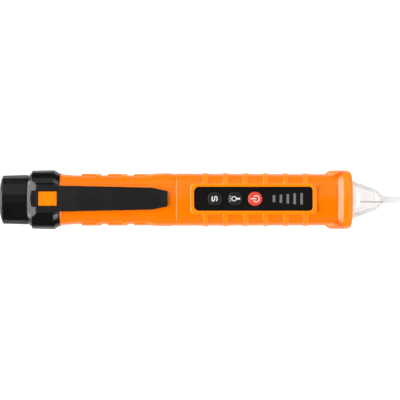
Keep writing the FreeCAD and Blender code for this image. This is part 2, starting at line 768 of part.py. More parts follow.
# ---- clip and collar ----
def clip_collar():
    """Black ring on the barrel's seat: a flare behind, two lobes, and a land between them for the clip."""
    body = turned([
        (COLLAR_REAR_X, COLLAR_BORE),
        (COLLAR_REAR_X, 9.75),
        (LOBE_REAR_X, 10.85),
        (LOBE_REAR_X + 0.1, 11.66, 0.6),
        (-57.8, COLLAR_RADIUS, 0.5),
        (COLLAR_FRONT_X, 10.62, 0.1),
        (COLLAR_FRONT_X, COLLAR_BORE),
    ])
    above_land = centred_block(COLLAR_REAR_X - 1, COLLAR_FRONT_X + 1, 20, COLLAR_LAND_Z, 20)
    slot = centred_block(LUG_REAR_X - 0.1, COLLAR_FRONT_X + 1, LUG_HALF_WIDTH + 0.1, 5, 20)
    below_flat = centred_block(COLLAR_REAR_X - 1, COLLAR_FRONT_X + 1, 20, -20, -AXIS_HEIGHT)
    lobes = body.cut([above_land, slot, below_flat])
    ramp_front_x = CLIP_ROOT_REAR_X - CLIP_ROOT_GAP
    flare = turned([
        (COLLAR_REAR_X, COLLAR_BORE),
        (COLLAR_REAR_X, 9.75),
        (ramp_front_x, 11.25),
        (ramp_front_x, COLLAR_BORE),
    ])
    behind_clip = upright([
        (COLLAR_REAR_X - 1, -6.3),
        (LOBE_REAR_X, -6.3),
        (ramp_front_x, -5.2),
        (ramp_front_x, 5.2),
        (LOBE_REAR_X, 6.3),
        (COLLAR_REAR_X - 1, 6.3),
    ], 5, 20)
    return joined(lobes, flare.common(behind_clip))


def clip_root():
    """Fixed end of the clip: a frame around the lug and a tongue over the collar's rear edge."""
    floor_z = COLLAR_LAND_Z + 0.02
    front_x = CLIP_JOINT_X - 0.05
    frame = tablet(CLIP_ROOT_REAR_X, front_x, CLIP_ROOT_FOOT, floor_z, CLIP_TOP_Z, 0.8, 0.3)
    above_sides = upright([
        (floor_z - 0.1, -CLIP_ROOT_FOOT - 0.02),
        (CLIP_TOP_Z + 0.1, -CLIP_ROOT_HALF_WIDTH),
        (CLIP_TOP_Z + 0.1, CLIP_ROOT_HALF_WIDTH),
        (floor_z - 0.1, CLIP_ROOT_FOOT + 0.02),
    ], -front_x - 1, -CLIP_ROOT_REAR_X + 1)
    above_sides.rotate(AXIS_POINT, Vector(0, 1, 0), -90)
    frame = frame.common(above_sides)
    tongue = upright([
        (CLIP_ROOT_REAR_X + 0.4, -TONGUE_HALF_WIDTH),
        (CLIP_ROOT_REAR_X + 0.4, TONGUE_HALF_WIDTH),
        (TONGUE_REAR_X + 0.5, TONGUE_HALF_WIDTH, 0.6),
        (TONGUE_REAR_X, 0, 6),
        (TONGUE_REAR_X + 0.5, -TONGUE_HALF_WIDTH, 0.6),
    ], 11.35, 12.1)
    window = centred_block(
        LUG_REAR_X - CLIP_ROOT_GAP, LUG_FRONT_X + CLIP_ROOT_GAP, LUG_HALF_WIDTH + CLIP_ROOT_GAP, 5, 20
    )
    return joined(frame, tongue).cut(window)


def clip_arm():
    """Springy arm of the clip, which tapers to a foot resting over the barrel's shoulder."""
    side = sideways([
        (CLIP_JOINT_X, 10.8),
        (-52.0, 11.0, 4),
        (-40.0, 11.45, 30),
        (-21.5, 11.1, 4),
        (-15.4, 10.62, 1.5),
        (CLIP_TIP_X, 10.95, 0.15),
        (CLIP_TIP_X, 11.5, 0.3),
        (-16.0, 12.1, 4),
        (-34.0, 12.85, 60),
        (-48.0, 12.75, 30),
        (CLIP_JOINT_X, CLIP_TOP_Z),
    ], 8)
    plan = upright([
        (CLIP_JOINT_X, -5.1),
        (-51.0, -5.06, 10),
        (-19.0, -4.35, 4),
        (CLIP_TIP_X, -3.0, 0.5),
        (CLIP_TIP_X, 3.0, 0.5),
        (-19.0, 4.35, 4),
        (-51.0, 5.06, 10),
        (CLIP_JOINT_X, 5.1),
    ], 5, 15)
    return side.common(plan)


# ---- tail cap ----
def facet_wire(x, apothem):
    """Regular outline with a flat facing straight up."""
    radius = apothem / math.cos(math.pi / CAP_FACETS)
    points = []
    for i in range(CAP_FACETS + 1):
        angle = 2 * math.pi * (i + 0.5) / CAP_FACETS
        points.append(Vector(x, radius * math.sin(angle), radius * math.cos(angle)))
    return Part.makePolygon(points)


def tail_cap():
    """Faceted screw cap with a domed end."""
    facets = Part.makeLoft([
        facet_wire(TAIL_END, CAP_REAR_APOTHEM), facet_wire(CAP_MOUTH_X, CAP_FRONT_APOTHEM),
    ], True, True)
    dome = turned([
        (TAIL_END, 0),
        (TAIL_END, 5.6, 4),
        (-79.1, 8.9, 1.0),
        (-78.2, 10.2),
        (CAP_MOUTH_X - 0.4, 10.2),
        (CAP_MOUTH_X, CAP_FRONT_APOTHEM - 0.2),
        (CAP_MOUTH_X, 0),
    ])
    bore = rod(CAP_FLOOR_X, CAP_MOUTH_X + 1, CAP_BORE)
    mouth = rod(CAP_MOUTH_X - 1.7, CAP_MOUTH_X + 1, CAP_SEAL_RADIUS)
    return facets.common(dome).cut([bore, mouth])


def cap_contact_plate():
    """Contact disc loose in the cap's floor, with a rim that locates the spring."""
    front_x = CAP_FLOOR_X + 0.05 + CONTACT_PLATE_THICKNESS
    disc = rod(CAP_FLOOR_X + 0.05, front_x, CONTACT_PLATE_RADIUS)
    spigot = rod(front_x - 0.1, front_x + 0.7, 2.4)
    return joined(disc, spigot)


def tail_spring():
    """Coil spring between the contact disc and the rear cell."""
    rear_x = CAP_FLOOR_X + 0.05 + CONTACT_PLATE_THICKNESS + SPRING_WIRE
    front_x = CELL_REAR_X - 0.05 - SPRING_WIRE
    height = front_x - rear_x
    coil_radius = 3.0
    helix = Part.makeHelix(height / SPRING_TURNS, height, coil_radius)
    wire_end = Part.Wire([Part.makeCircle(SPRING_WIRE, Vector(coil_radius, 0, 0), Vector(0, 1, 0))])
    coil = Part.Wire(helix.Edges).makePipeShell([wire_end], True, True)
    coil.rotate(AXIS_POINT, Vector(0, 1, 0), 90)
    coil.translate(Vector(rear_x, 0, 0))
    return coil


def build():
    os.makedirs("parts", exist_ok=True)
    save("rear_barrel", rear_barrel())
    save("front_housing", front_housing())
    save("nose_ring", nose_ring())
    save("probe_tip", probe_tip())
    save("nose_gasket", nose_gasket())
    save("led_mount", led_mount())
    save("flashlight_led", lamp(1))
    save("signal_led", lamp(-1))
    save("sense_antenna", sense_antenna())
    save("control_panel", control_panel())
    save("level_light_guide", level_light_guide())
    symbols = {
        "sensitivity": sensitivity_symbol, "flashlight": flashlight_symbol, "power": power_symbol,
    }
    for name, x, radius in BUTTONS:
        save(name + "_button", push_button(x, radius))
        save(name + "_symbol", symbols[name](x))
        save(name + "_switch_plunger", switch_plunger(x))
    save("main_board", main_board())
    save("board_screws", board_screws())
    save("tact_switches", tact_switches())
    save("level_leds", level_leds())
    save("control_chip", control_chip())
    save("small_components", small_components())
    save("buzzer", buzzer())
    save("battery_cradle", battery_cradle())
    save("rear_battery_cell", battery_cell(CELL_REAR_X))
    save("front_battery_cell", battery_cell(CELL_REAR_X + CELL_LENGTH))
    save("positive_contact", positive_contact())
    save("negative_strip", negative_strip())
    save("barrel_o_ring", barrel_o_ring())
    save("cap_o_ring", cap_o_ring())
    save("clip_collar", clip_collar())
    save("clip_root", clip_root())
    save("clip_arm", clip_arm())
    save("tail_cap", tail_cap())
    save("cap_contact_plate", cap_contact_plate())
    save("tail_spring", tail_spring())


build()
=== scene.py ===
import math

import bmesh
import bpy
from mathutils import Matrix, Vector


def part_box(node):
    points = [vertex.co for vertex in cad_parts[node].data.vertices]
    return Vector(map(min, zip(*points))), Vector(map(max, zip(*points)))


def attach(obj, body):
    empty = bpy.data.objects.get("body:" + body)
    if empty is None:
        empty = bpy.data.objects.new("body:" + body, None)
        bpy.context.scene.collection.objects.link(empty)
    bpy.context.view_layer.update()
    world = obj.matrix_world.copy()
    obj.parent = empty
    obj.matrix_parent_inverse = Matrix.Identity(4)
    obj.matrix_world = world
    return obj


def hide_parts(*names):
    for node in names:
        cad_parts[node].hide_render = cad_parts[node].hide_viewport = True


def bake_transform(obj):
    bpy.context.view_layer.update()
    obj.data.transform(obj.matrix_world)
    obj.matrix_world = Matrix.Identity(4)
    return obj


# Looks of a pen shaped non contact voltage tester, built round its CAD frame.
# Shapes are drawn in millimetres about the pen's own axis: x towards the probe tip, z up through the panel.
# Angles round the axis are in degrees from straight up, towards +y.

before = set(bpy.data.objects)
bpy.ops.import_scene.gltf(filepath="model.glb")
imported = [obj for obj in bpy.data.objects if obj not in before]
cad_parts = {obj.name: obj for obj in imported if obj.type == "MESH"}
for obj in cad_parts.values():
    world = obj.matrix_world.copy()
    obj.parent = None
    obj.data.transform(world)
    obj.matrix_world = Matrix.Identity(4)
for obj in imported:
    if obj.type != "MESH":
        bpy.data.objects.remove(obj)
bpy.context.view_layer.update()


# ---- places taken from the frame ----
def low(node):
    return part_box(node)[0] * 1000


def high(node):
    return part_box(node)[1] * 1000


AXIS = (low("tail_cap").z + high("tail_cap").z) / 2
TAIL_END = low("tail_cap").x
CAP_MOUTH = high("tail_cap").x
NECK_REAR = low("rear_barrel").x
BARREL_FRONT = high("rear_barrel").x
LUG_TOP = high("rear_barrel").z - AXIS
SPIGOT_REAR = low("front_housing").x
NECK_FRONT = high("front_housing").x
RIM_TOP = high("front_housing").z - AXIS
PANEL_REAR, PANEL_FRONT = low("control_panel").x, high("control_panel").x
PANEL_HALF = high("control_panel").y
PANEL_BOTTOM, PANEL_TOP = low("control_panel").z - AXIS, high("control_panel").z - AXIS
COLLAR_REAR, COLLAR_FRONT = low("clip_collar").x, high("clip_collar").x
COLLAR_RADIUS = high("clip_collar").y
RING_FRONT = high("nose_ring").x
WING_REAR = low("nose_ring").x
RING_RADIUS = high("nose_ring").y
TIP_REAR, TIP_END = low("probe_tip").x, high("probe_tip").x
TIP_FLANGE = high("probe_tip").y
CLIP_JOINT = low("clip_arm").x
CLIP_END = high("clip_arm").x
CLIP_TOP = high("clip_root").z - AXIS
ROOT_HALF = high("clip_root").y
TONGUE_REAR = low("clip_root").x
BUTTON_TOP = high("power_button").z - AXIS
BUTTONS = {
    name: (low(name + "_button").x + high(name + "_button").x) / 2
    for name in ("sensitivity", "flashlight", "power")
}

# ---- driving dimensions of the shells, millimetres ----
WAIST = 9.74
SEAT_RADIUS = 9.3
SEAT_REAR = -68.1
BARREL_REAR = COLLAR_FRONT + 0.05
LOBE_REAR = COLLAR_REAR + 1.35
ROOT_REAR = -64.75
ROOT_TOP_HALF = 5.15
LUG_REAR, LUG_FRONT, LUG_HALF = -64.1, -56.42, 2.95
PADS = ((-47.4, -39.2), (-37.0, -28.8), (-26.6, -18.6))
PAD_RADIUS = 10.38
PAD_HALF_ANGLE = 17.0
BLOCK_HALF_ANGLE = 28.0
BLOCK_LENGTH = 2.4
THREAD_PITCH = 2.5
HOUSING_REAR_RADIUS = 10.45
HOUSING_FRONT_RADIUS = 10.2
HOUSING_FRONT = 54.6
RIB_FIRST, RIB_PITCH, RIB_COUNT = 2.3, 7.96, 6
RIB_HALF_WIDTH, RIB_HEIGHT, RIB_BEVEL = 0.95, 0.3, 0.27
RIM_WIDTH = 1.45
RIM_REAR, RIM_FRONT = PANEL_REAR - 1.65, PANEL_FRONT + 1.7
RIM_HALF = PANEL_HALF + RIM_WIDTH
COLLAR_LAND = 9.95
RING_REAR = 54.7
WING_HALF_ANGLE = 27.0
BUTTON_RADII = {"sensitivity": 2.85, "flashlight": 2.85, "power": 2.8}
FACETS = 16
BARREL_SHOULDER = 10.54
BARREL_BORE = 8.3
SPIGOT_BORE = 8.7
THREAD_ROOT = 8.1
COLLAR_LIP, COLLAR_EDGE = 10.62, 10.58
CONE_FRONT = 56.9
RING_CREST = 57.4
TIP_BODY = 7.55
TIP_CAVITY = 6.6
TIP_CAVITY_END = 70.0
BLADE_ROUND = 1.4
LENS_RISE = 0.25
CUP_WALL = 0.35
BAR_LENGTHS = (2.8, 3.35, 3.8, 4.3, 4.55)
BAR_FIRST, BAR_PITCH, BAR_HALF_WIDTH = 29.3, 2.73, 0.5
GUIDE_BASE_BOTTOM = 8.2
DOME_FRONT = -78.2
CAP_OUTER = 10.2
CAP_BORE = 8.62
# Offsets in degrees of the extra angles close to an edge that runs along the pen.
EDGE_OFFSETS = (-1.2, -0.6, -0.2, 0, 0.2, 0.6, 1.2)


# ---- outlines ----
def rounded(points, steps=6, closed=True):
    """Path through (a, b) or (a, b, corner radius) points, with each rounded corner as an arc."""
    path = []
    count = len(points)
    for i, point in enumerate(points):
        corner = Vector(point[:2])
        radius = point[2] if len(point) > 2 else 0
        if radius == 0 or (not closed and i in (0, count - 1)):
            path.append(tuple(corner))
            continue
        back = (Vector(points[i - 1][:2]) - corner).normalized()
        ahead = (Vector(points[(i + 1) % count][:2]) - corner).normalized()
        half = back.angle(ahead) / 2
        middle = corner + (back + ahead).normalized() * radius / math.sin(half)
        first = corner + back * radius / math.tan(half) - middle
        last = corner + ahead * radius / math.tan(half) - middle
        sweep = math.atan2(first.cross(last), first.dot(last))
        for k in range(steps + 1):
            turn = sweep * k / steps
            arm = Vector((
                first.x * math.cos(turn) - first.y * math.sin(turn),
                first.x * math.sin(turn) + first.y * math.cos(turn),
            ))
            path.append(tuple(middle + arm))
    return path


def divided(path, longest, closed=True):
    """The same path with its long runs cut into equal steps."""
    count = len(path)
    result = []
    for i in range(count if closed else count - 1):
        start, end = Vector(path[i]), Vector(path[(i + 1) % count])
        pieces = max(1, math.ceil((end - start).length / longest))
        result += [tuple(start.lerp(end, k / pieces)) for k in range(pieces)]
    if not closed:
        result.append(tuple(path[-1]))
    return result


def on_path(path, x):
    """Height of an open path, drawn with rising x, at x."""
    for (x0, y0), (x1, y1) in zip(path, path[1:]):
        if x <= x1:
            return y0 + (y1 - y0) * max(0.0, x - x0) / max(1e-9, x1 - x0)
    return path[-1][1]


def tablet_outline(x0, x1, half, rear_corner, front_corner, inset=0.0, steps=8):
    """Plan outline of a tablet with rounded corners, drawn in from its edge by inset."""
    rear, front = max(0.05, rear_corner - inset), max(0.05, front_corner - inset)
    x0, x1, half = x0 + inset, x1 - inset, half - inset
    return rounded([(x0, -half, rear), (x1, -half, front), (x1, half, front), (x0, half, rear)], steps)


def step_between(low_edge, high_edge, value):
    """0 below the low edge, 1 above the high edge, and a smooth rise between them."""
    share = min(1.0, max(0.0, (value - low_edge) / (high_edge - low_edge)))
    return share * share * (3 - 2 * share)


def lobe(offset):
    """Height of a round lobe of unit height and half width."""
    return math.sqrt(max(0.0, 1 - offset * offset))


def soft_min(a, b, blend):
    """The smaller of two values, rounded where they meet."""
    share = max(0.0, blend - abs(a - b)) / blend
    return min(a, b) - share * share * blend / 4


def around(step=3.0, marks=(), spread=(-1.2, -0.6, 0.0, 0.6, 1.2)):
    """Angles round the axis: an even step, and extra ones close to each mark."""
    angles = {round(step * i, 4) for i in range(round(360 / step))}
    for mark in marks:
        angles |= {round((mark + offset) % 360, 4) for offset in spread}
    return sorted(angles)


# ---- meshes ----
def make_object(name, verts, faces):
    """Mesh object from points in millimetres about the pen axis."""
    mesh = bpy.data.meshes.new(name)
    mesh.from_pydata([(x / 1000, y / 1000, (z + AXIS) / 1000) for x, y, z in verts], [], faces)
    work = bmesh.new()
    work.from_mesh(mesh)
    bmesh.ops.remove_doubles(work, verts=work.verts, dist=1e-7)
    bmesh.ops.recalc_face_normals(work, faces=work.faces)
    work.to_mesh(mesh)
    work.free()
    obj = bpy.data.objects.new(name, mesh)
    bpy.context.scene.collection.objects.link(obj)
    return obj


def skin(name, loops, closed=False, cap=True):
    """Joins loops of equal count with quads; the ends are capped or the last loop meets the first."""
    count = len(loops[0])
    verts = [p for loop in loops for p in loop]
    faces = []
    for k in range(len(loops) if closed else len(loops) - 1):
        a, b = k * count, ((k + 1) % len(loops)) * count
        for j in range(count):
            i = (j + 1) % count
            faces.append((a + j, a + i, b + i, b + j))
    if cap and not closed:
        faces.append(tuple(range(count)))
        faces.append(tuple(range((len(loops) - 1) * count, len(loops) * count)))
    return make_object(name, verts, faces)


def lathe(name, path, angles=None, shape=None, closed=True):
    """Turned piece about the pen axis. shape(x, r, angle) may move each point to a new (x, r)."""
    angles = angles or around()
    loops = []
    for x, r in path:
        loop = []
        for angle in angles:
            px, pr = shape(x, r, angle) if shape else (x, r)
            turn = math.radians(angle)
            loop.append((px, pr * math.sin(turn), pr * math.cos(turn)))
        loops.append(loop)
    return skin(name, loops, closed=closed, cap=False)


def turned_upright(name, path, centre_x, steps=96):
    """Turned piece about an upright line; path is (radius, z) and starts and ends on the line."""
    loops = []
    for r, z in path:
        loops.append([
            (
                centre_x + r * math.cos(2 * math.pi * j / steps),
                r * math.sin(2 * math.pi * j / steps),
                z,
            )
            for j in range(steps)
        ])
    return skin(name, loops, cap=False)


def slab(name, outline, levels):
    """Flat piece: outline(inset) gives its plan, levels are (inset, z) from bottom to top."""
    return skin(name, [[(x, y, z) for x, y in outline(inset)] for inset, z in levels])


def edge_levels(bottom, top, bevel, steps=4):
    """Levels of a slab with a rounded upper edge."""
    levels = [(0, bottom), (0, top - bevel)]
    for k in range(1, steps + 1):
        turn = math.pi / 2 * k / steps
        levels.append((bevel * (1 - math.cos(turn)), top - bevel + bevel * math.sin(turn)))
    return levels


def combine(obj, other, operation):
    """Boolean of two closed objects; the second one is used up."""
    modifier = obj.modifiers.new("combine", "BOOLEAN")
    modifier.operation = operation
    modifier.solver = "EXACT"
    modifier.object = other
    graph = bpy.context.evaluated_depsgraph_get()
    mesh = bpy.data.meshes.new_from_object(obj.evaluated_get(graph))
    obj.modifiers.clear()
    obj.data = mesh
    bpy.data.objects.remove(other)
    return obj


def join(obj, others):
    """One object out of several closed shells."""
    work = bmesh.new()
    for piece in [obj, *others]:
        work.from_mesh(piece.data)
    work.to_mesh(obj.data)
    work.free()
    for piece in others:
        bpy.data.objects.remove(piece)
    return obj


def paint(obj, material, is_inside):
    """Another material on the faces whose middle, in pen millimetres, is_inside says yes to."""
    obj.data.materials.append(material)
    for polygon in obj.data.polygons:
        x, y, z = polygon.center * 1000
        if is_inside(x, y, z - AXIS):
            polygon.material_index = len(obj.data.materials) - 1


def dress(obj, material, nodes, body, sharp=38):
    """Shading, material and body of a finished piece; the CAD parts it stands for are hidden."""
    for polygon in obj.data.polygons:
        polygon.use_smooth = True
    obj.data.set_sharp_from_angle(angle=math.radians(sharp))
    weighted = obj.modifiers.new("normals", "WEIGHTED_NORMAL")
    weighted.keep_sharp = True
    obj.data.materials.clear()
    obj.data.materials.append(material)
    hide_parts(*nodes)
    if body:  # a blended piece has no single body
        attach(obj, body)
    return obj


# ---- materials ----
def linear(red, green, blue):
    """Linear colour from screen values of 0 to 255."""
    return tuple(
        (v / 255 / 12.92) if v <= 10 else ((v / 255 + 0.055) / 1.055) ** 2.4
        for v in (red, green, blue)
    )


def noise(tree, scale, detail=2.0, roughness=0.5):
    """Noise texture in object space; the tree's one coordinate node is shared."""
    coordinates = tree.nodes.get("place") or tree.nodes.new("ShaderNodeTexCoord")
    coordinates.name = "place"
    texture = tree.nodes.new("ShaderNodeTexNoise")
    texture.inputs["Scale"].default_value = scale
    texture.inputs["Detail"].default_value = detail
    texture.inputs["Roughness"].default_value = roughness
    tree.links.new(coordinates.outputs["Object"], texture.inputs["Vector"])
    return texture.outputs["Fac"]


def spread(tree, source, low_value, high_value, from_low=0.3, from_high=0.7):
    """Maps a texture's middle range onto low_value to high_value."""
    node = tree.nodes.new("ShaderNodeMapRange")
    node.inputs["From Min"].default_value = from_low
    node.inputs["From Max"].default_value = from_high
    node.inputs["To Min"].default_value = low_value
    node.inputs["To Max"].default_value = high_value
    tree.links.new(source, node.inputs["Value"])
    return node.outputs["Result"]


def blended(tree, factor, first, second):
    """Mix of two colours, each a linear colour or the output of a node."""
    node = tree.nodes.new("ShaderNodeMix")
    node.data_type = "RGBA"
    for socket, value in ((6, first), (7, second)):
        if isinstance(value, tuple):
            node.inputs[socket].default_value = (*value, 1)
        else:
            tree.links.new(value, node.inputs[socket])
    tree.links.new(factor, node.inputs[0])
    return node.outputs[2]


def moulded(name, colour, roughness, tint=0.06, grain=3500.0, bump=0.04, smudge=0.06, wear=0.12, shine=0.5):
    """Moulded plastic: slow colour drift, fine grain, handling smudges in the gloss and paler worn edges."""
    material = bpy.data.materials.new(name)
    material.use_nodes = True
    tree = material.node_tree
    shader = tree.nodes["Principled BSDF"]
    darker = tuple(c * (1 - tint) for c in colour)
    lighter = tuple(min(1.0, c * (1 + tint)) for c in colour)
    drift = spread(tree, noise(tree, 90.0, 3.0), 0.0, 1.0)
    body = blended(tree, drift, darker, lighter)
    geometry = tree.nodes.new("ShaderNodeNewGeometry")
    edge = spread(tree, geometry.outputs["Pointiness"], 0.0, wear, 0.53, 0.62)
    worn = tuple(min(1.0, c * 1.3 + 0.004) for c in lighter)
    tree.links.new(blended(tree, edge, body, worn), shader.inputs["Base Color"])
    gloss = spread(tree, noise(tree, 260.0, 4.0, 0.6), roughness - smudge, roughness + smudge)
    tree.links.new(gloss, shader.inputs["Roughness"])
    relief = tree.nodes.new("ShaderNodeBump")
    relief.inputs["Strength"].default_value = bump
    relief.inputs["Distance"].default_value = 0.0002
    tree.links.new(noise(tree, grain, 2.0), relief.inputs["Height"])
    tree.links.new(relief.outputs["Normal"], shader.inputs["Normal"])
    shader.inputs["Specular IOR Level"].default_value = shine
    return material


def metal(name, colour, roughness, stretch=(1.0, 12.0, 12.0)):
    """Plated metal with fine drawing lines along the pen."""
    material = moulded(name, colour, roughness, tint=0.1, grain=2500.0, bump=0.05, wear=0.0)
    tree = material.node_tree
    tree.nodes["Principled BSDF"].inputs["Metallic"].default_value = 1.0
    mapping = tree.nodes.new("ShaderNodeMapping")
    mapping.inputs["Scale"].default_value = stretch
    tree.links.new(tree.nodes["place"].outputs["Object"], mapping.inputs["Vector"])
    for node in tree.nodes:
        if node.type == "TEX_NOISE" and node.inputs["Scale"].default_value > 1000:
            tree.links.new(mapping.outputs["Vector"], node.inputs["Vector"])
    return material


def clear(name, colour, roughness):
    """Clear moulded plastic with faint flow marks."""
    material = bpy.data.materials.new(name)
    material.use_nodes = True
    tree = material.node_tree
    shader = tree.nodes["Principled BSDF"]
    drift = spread(tree, noise(tree, 120.0, 2.0), 0.0, 1.0)
    tree.links.new(blended(tree, drift, tuple(c * 0.97 for c in colour), colour), shader.inputs["Base Color"])
    gloss = spread(tree, noise(tree, 400.0, 3.0), roughness * 0.6, roughness * 1.6)
    tree.links.new(gloss, shader.inputs["Roughness"])
    shader.inputs["Transmission Weight"].default_value = 1.0
    shader.inputs["IOR"].default_value = 1.49
    relief = tree.nodes.new("ShaderNodeBump")
    relief.inputs["Strength"].default_value = 0.03
    relief.inputs["Distance"].default_value = 0.0002
    tree.links.new(noise(tree, 500.0, 2.0), relief.inputs["Height"])
    tree.links.new(relief.outputs["Normal"], shader.inputs["Normal"])
    return material


def see_through(name, colour, roughness, facing_cover, edge_cover):
    """Clear thin wall: shows what is behind it, less so where it turns away, with faint flow marks."""
    material = moulded(
        name, colour, roughness, tint=0.03, grain=400.0, bump=0.02, smudge=0.04, wear=0.0, shine=0.6
    )
    tree = material.node_tree
    layer = tree.nodes.new("ShaderNodeLayerWeight")
    layer.inputs["Blend"].default_value = 0.5
    cover = spread(tree, layer.outputs["Facing"], facing_cover, edge_cover, 0.3, 0.8)
    tree.links.new(cover, tree.nodes["Principled BSDF"].inputs["Alpha"])
    return material


ORANGE = moulded(
    "orange_abs", (0.85, 0.159, 0.0), 0.17, tint=0.03, bump=0.015, smudge=0.012, wear=0.25, shine=0.4
)
# Painted light: a lighter copy of the orange for the raised faces (ribs, panel rim, grip blocks, lug top,
# ring band), standing in for the stronger light they catch.
ORANGE_LIT_RAISED = moulded(
    "orange_raised_painted_light", (0.87, 0.205, 0.0), 0.2, tint=0.03, bump=0.015, smudge=0.015, wear=0.3, shine=0.45
)
# Painted shade and real gloss: a darker copy of the orange with stronger gloss for the ring's rear cone,
# darkened against the strong light that falls on it.
ORANGE_GLOSSY_SHADED = moulded(
    "orange_glossy_painted_shade", (0.85, 0.125, 0.0), 0.26, tint=0.03, bump=0.015, smudge=0.02, wear=0.1, shine=0.68
)
# The ring's front strip: its low gloss is a real finish, and its orange is lighter than the base as painted
# light, like the raised faces.
ORANGE_SATIN_LIT = moulded(
    "orange_satin_painted_light", (0.87, 0.19, 0.0), 0.35, tint=0.03, bump=0.02, smudge=0.02, wear=0.1, shine=0.12
)
CAP_BLACK = moulded("cap_black", (0.005, 0.005, 0.005), 0.18, tint=0.15, bump=0.02, wear=0.1, shine=0.5)
CLIP_BLACK = moulded("clip_black", (0.006, 0.006, 0.006), 0.4, tint=0.15, bump=0.08, wear=0.1, shine=0.28)
PANEL_BLACK = moulded(
    "panel_black", (0.0055, 0.0047, 0.0047), 0.2, tint=0.15, bump=0.02, wear=0.1, shine=0.25
)
BUTTON_BLACK = moulded(
    "button_black", (0.008, 0.008, 0.008), 0.35, tint=0.12, bump=0.05, wear=0.03, shine=0.35
)
BUTTON_RED = moulded("button_red", (0.62, 0.052, 0.026), 0.25, tint=0.05, bump=0.05, wear=0.2, shine=0.4)
MARK_WHITE = moulded("mark_white", (0.66, 0.66, 0.67), 0.5, tint=0.04, bump=0.03, wear=0.0, shine=0.3)
GUIDE_GREY = moulded("guide_grey", (0.13, 0.135, 0.14), 0.3, tint=0.06, bump=0.02, wear=0.03, shine=0.3)
CLEAR_TIP = see_through("clear_tip", (0.57, 0.59, 0.6), 0.12, 0.13, 0.8)
CLEAR_INSIDE = see_through("clear_inside", (0.66, 0.68, 0.69), 0.12, 0.08, 0.25)
CLEAR_BLADE = see_through("clear_blade", (0.5, 0.505, 0.51), 0.12, 0.34, 0.75)
LAMP_CLEAR = clear("lamp_clear", (0.95, 0.95, 0.9), 0.08)
LAMP_RED = clear("lamp_red", (0.9, 0.12, 0.08), 0.08)
MILKY_GLOWING = moulded("milky_white_painted_glow", (0.82, 0.82, 0.82), 0.3, tint=0.03, bump=0.02, wear=0.0)
# Painted light: a faint glow, though the piece is no lamp, brightens the milky piece where it sits in shade
# inside the ring and tip, standing in for light scattered inside it.
MILKY_GLOWING.node_tree.nodes["Principled BSDF"].inputs["Emission Color"].default_value = (1, 1, 1, 1)
MILKY_GLOWING.node_tree.nodes["Principled BSDF"].inputs["Emission Strength"].default_value = 0.42
WHITE_PLASTIC = moulded("white_plastic", linear(226, 226, 222), 0.45, tint=0.03, bump=0.05, wear=0.0)
RUBBER = moulded("seal_rubber", linear(28, 28, 28), 0.7, tint=0.2, bump=0.15, wear=0.0)
NICKEL = metal("nickel_strip", linear(206, 203, 196), 0.3)
SPRING_STEEL = metal("spring_steel", linear(190, 190, 192), 0.28)
SCREW_STEEL = metal("screw_steel", linear(176, 177, 180), 0.35)
BOARD_GREEN = moulded("board_green", linear(22, 104, 58), 0.3, tint=0.2, grain=1800.0, bump=0.1, wear=0.0)
SWITCH_BLACK = moulded("switch_black", linear(36, 36, 38), 0.5, tint=0.15, bump=0.08, wear=0.0)
CERAMIC = moulded("ceramic_chip", linear(176, 140, 100), 0.6, tint=0.25, grain=1500.0, bump=0.1, wear=0.0)
CELL_JACKET = metal("cell_jacket", linear(196, 198, 204), 0.35)

INNER_MATERIALS = {
    "nose_gasket": RUBBER, "barrel_o_ring": RUBBER, "cap_o_ring": RUBBER,
    "battery_cradle": WHITE_PLASTIC,
    "flashlight_led": LAMP_CLEAR, "signal_led": LAMP_RED, "level_leds": LAMP_CLEAR,
    "sense_antenna": NICKEL, "positive_contact": NICKEL,
    "negative_strip": NICKEL, "cap_contact_plate": NICKEL,
    "tail_spring": SPRING_STEEL, "board_screws": SCREW_STEEL,
    "main_board": BOARD_GREEN, "tact_switches": SWITCH_BLACK, "control_chip": SWITCH_BLACK,
    "buzzer": SWITCH_BLACK, "small_components": CERAMIC,
    "rear_battery_cell": CELL_JACKET, "front_battery_cell": CELL_JACKET,
    "sensitivity_switch_plunger": SWITCH_BLACK, "flashlight_switch_plunger": SWITCH_BLACK,
    "power_switch_plunger": SWITCH_BLACK,
}


# ---- orange shells ----
def pad_shape(x, r, angle):
    """Raises the grip pads on the flanks of the waist."""
    if r < SEAT_RADIUS or not PADS[0][0] - 1 < x < PADS[-1][1] + 0.6:
        return x, r
    from_side = abs((angle % 180) - 90)
    lift = 0.0
    for rear, front in PADS:
        length = step_between(rear, rear + 0.35, x) * (1 - step_between(front - 0.3, front + 0.1, x))
        pad = length * lobe(from_side / PAD_HALF_ANGLE)
        ahead = step_between(front - BLOCK_LENGTH - 0.15, front - BLOCK_LENGTH + 0.2, x)
        block = length * ahead * (1 - step_between(BLOCK_HALF_ANGLE - 1.0, BLOCK_HALF_ANGLE + 1.0, from_side))
        lift = max(lift, pad, 0.86 * block)
    crest = PAD_RADIUS - 0.1 * step_between(PADS[0][0], PADS[-1][1], x)
    return x, r + max(0.0, crest - r) * lift


def from_flank(y, z):
    """Angle in degrees from the nearer flank."""
    return math.degrees(math.atan2(abs(z), abs(y)))


def on_grip_block(x, y, z):
    """Whether a point of the barrel's outside is on a block at a pad's front end."""
    on_a_block = any(front - BLOCK_LENGTH < x < front for _, front in PADS)
    beside_pad = PAD_HALF_ANGLE + 1.3 < from_flank(y, z) < BLOCK_HALF_ANGLE + 1.3
    return on_a_block and math.hypot(y, z) > 9.8 and beside_pad


def thread_ridge():
    """One helical ridge round the neck, fading into it at both ends."""
    loops = []
    start, turns, per_turn = NECK_REAR + 0.6, 2.1, 72
    total = round(turns * per_turn)
    for i in range(total + 1):
        angle = 2 * math.pi * i / per_turn
        x = start + THREAD_PITCH * i / per_turn
        fade = min(1.0, i / 12, (total - i) / 12)
        crest = 8.12 + 0.42 * fade
        section = ((x - 0.45, THREAD_ROOT), (x - 0.14, crest), (x + 0.14, crest), (x + 0.45, THREAD_ROOT))
        loops.append([(px, -r * math.sin(angle), r * math.cos(angle)) for px, r in section])
    return skin("thread_ridge", loops)


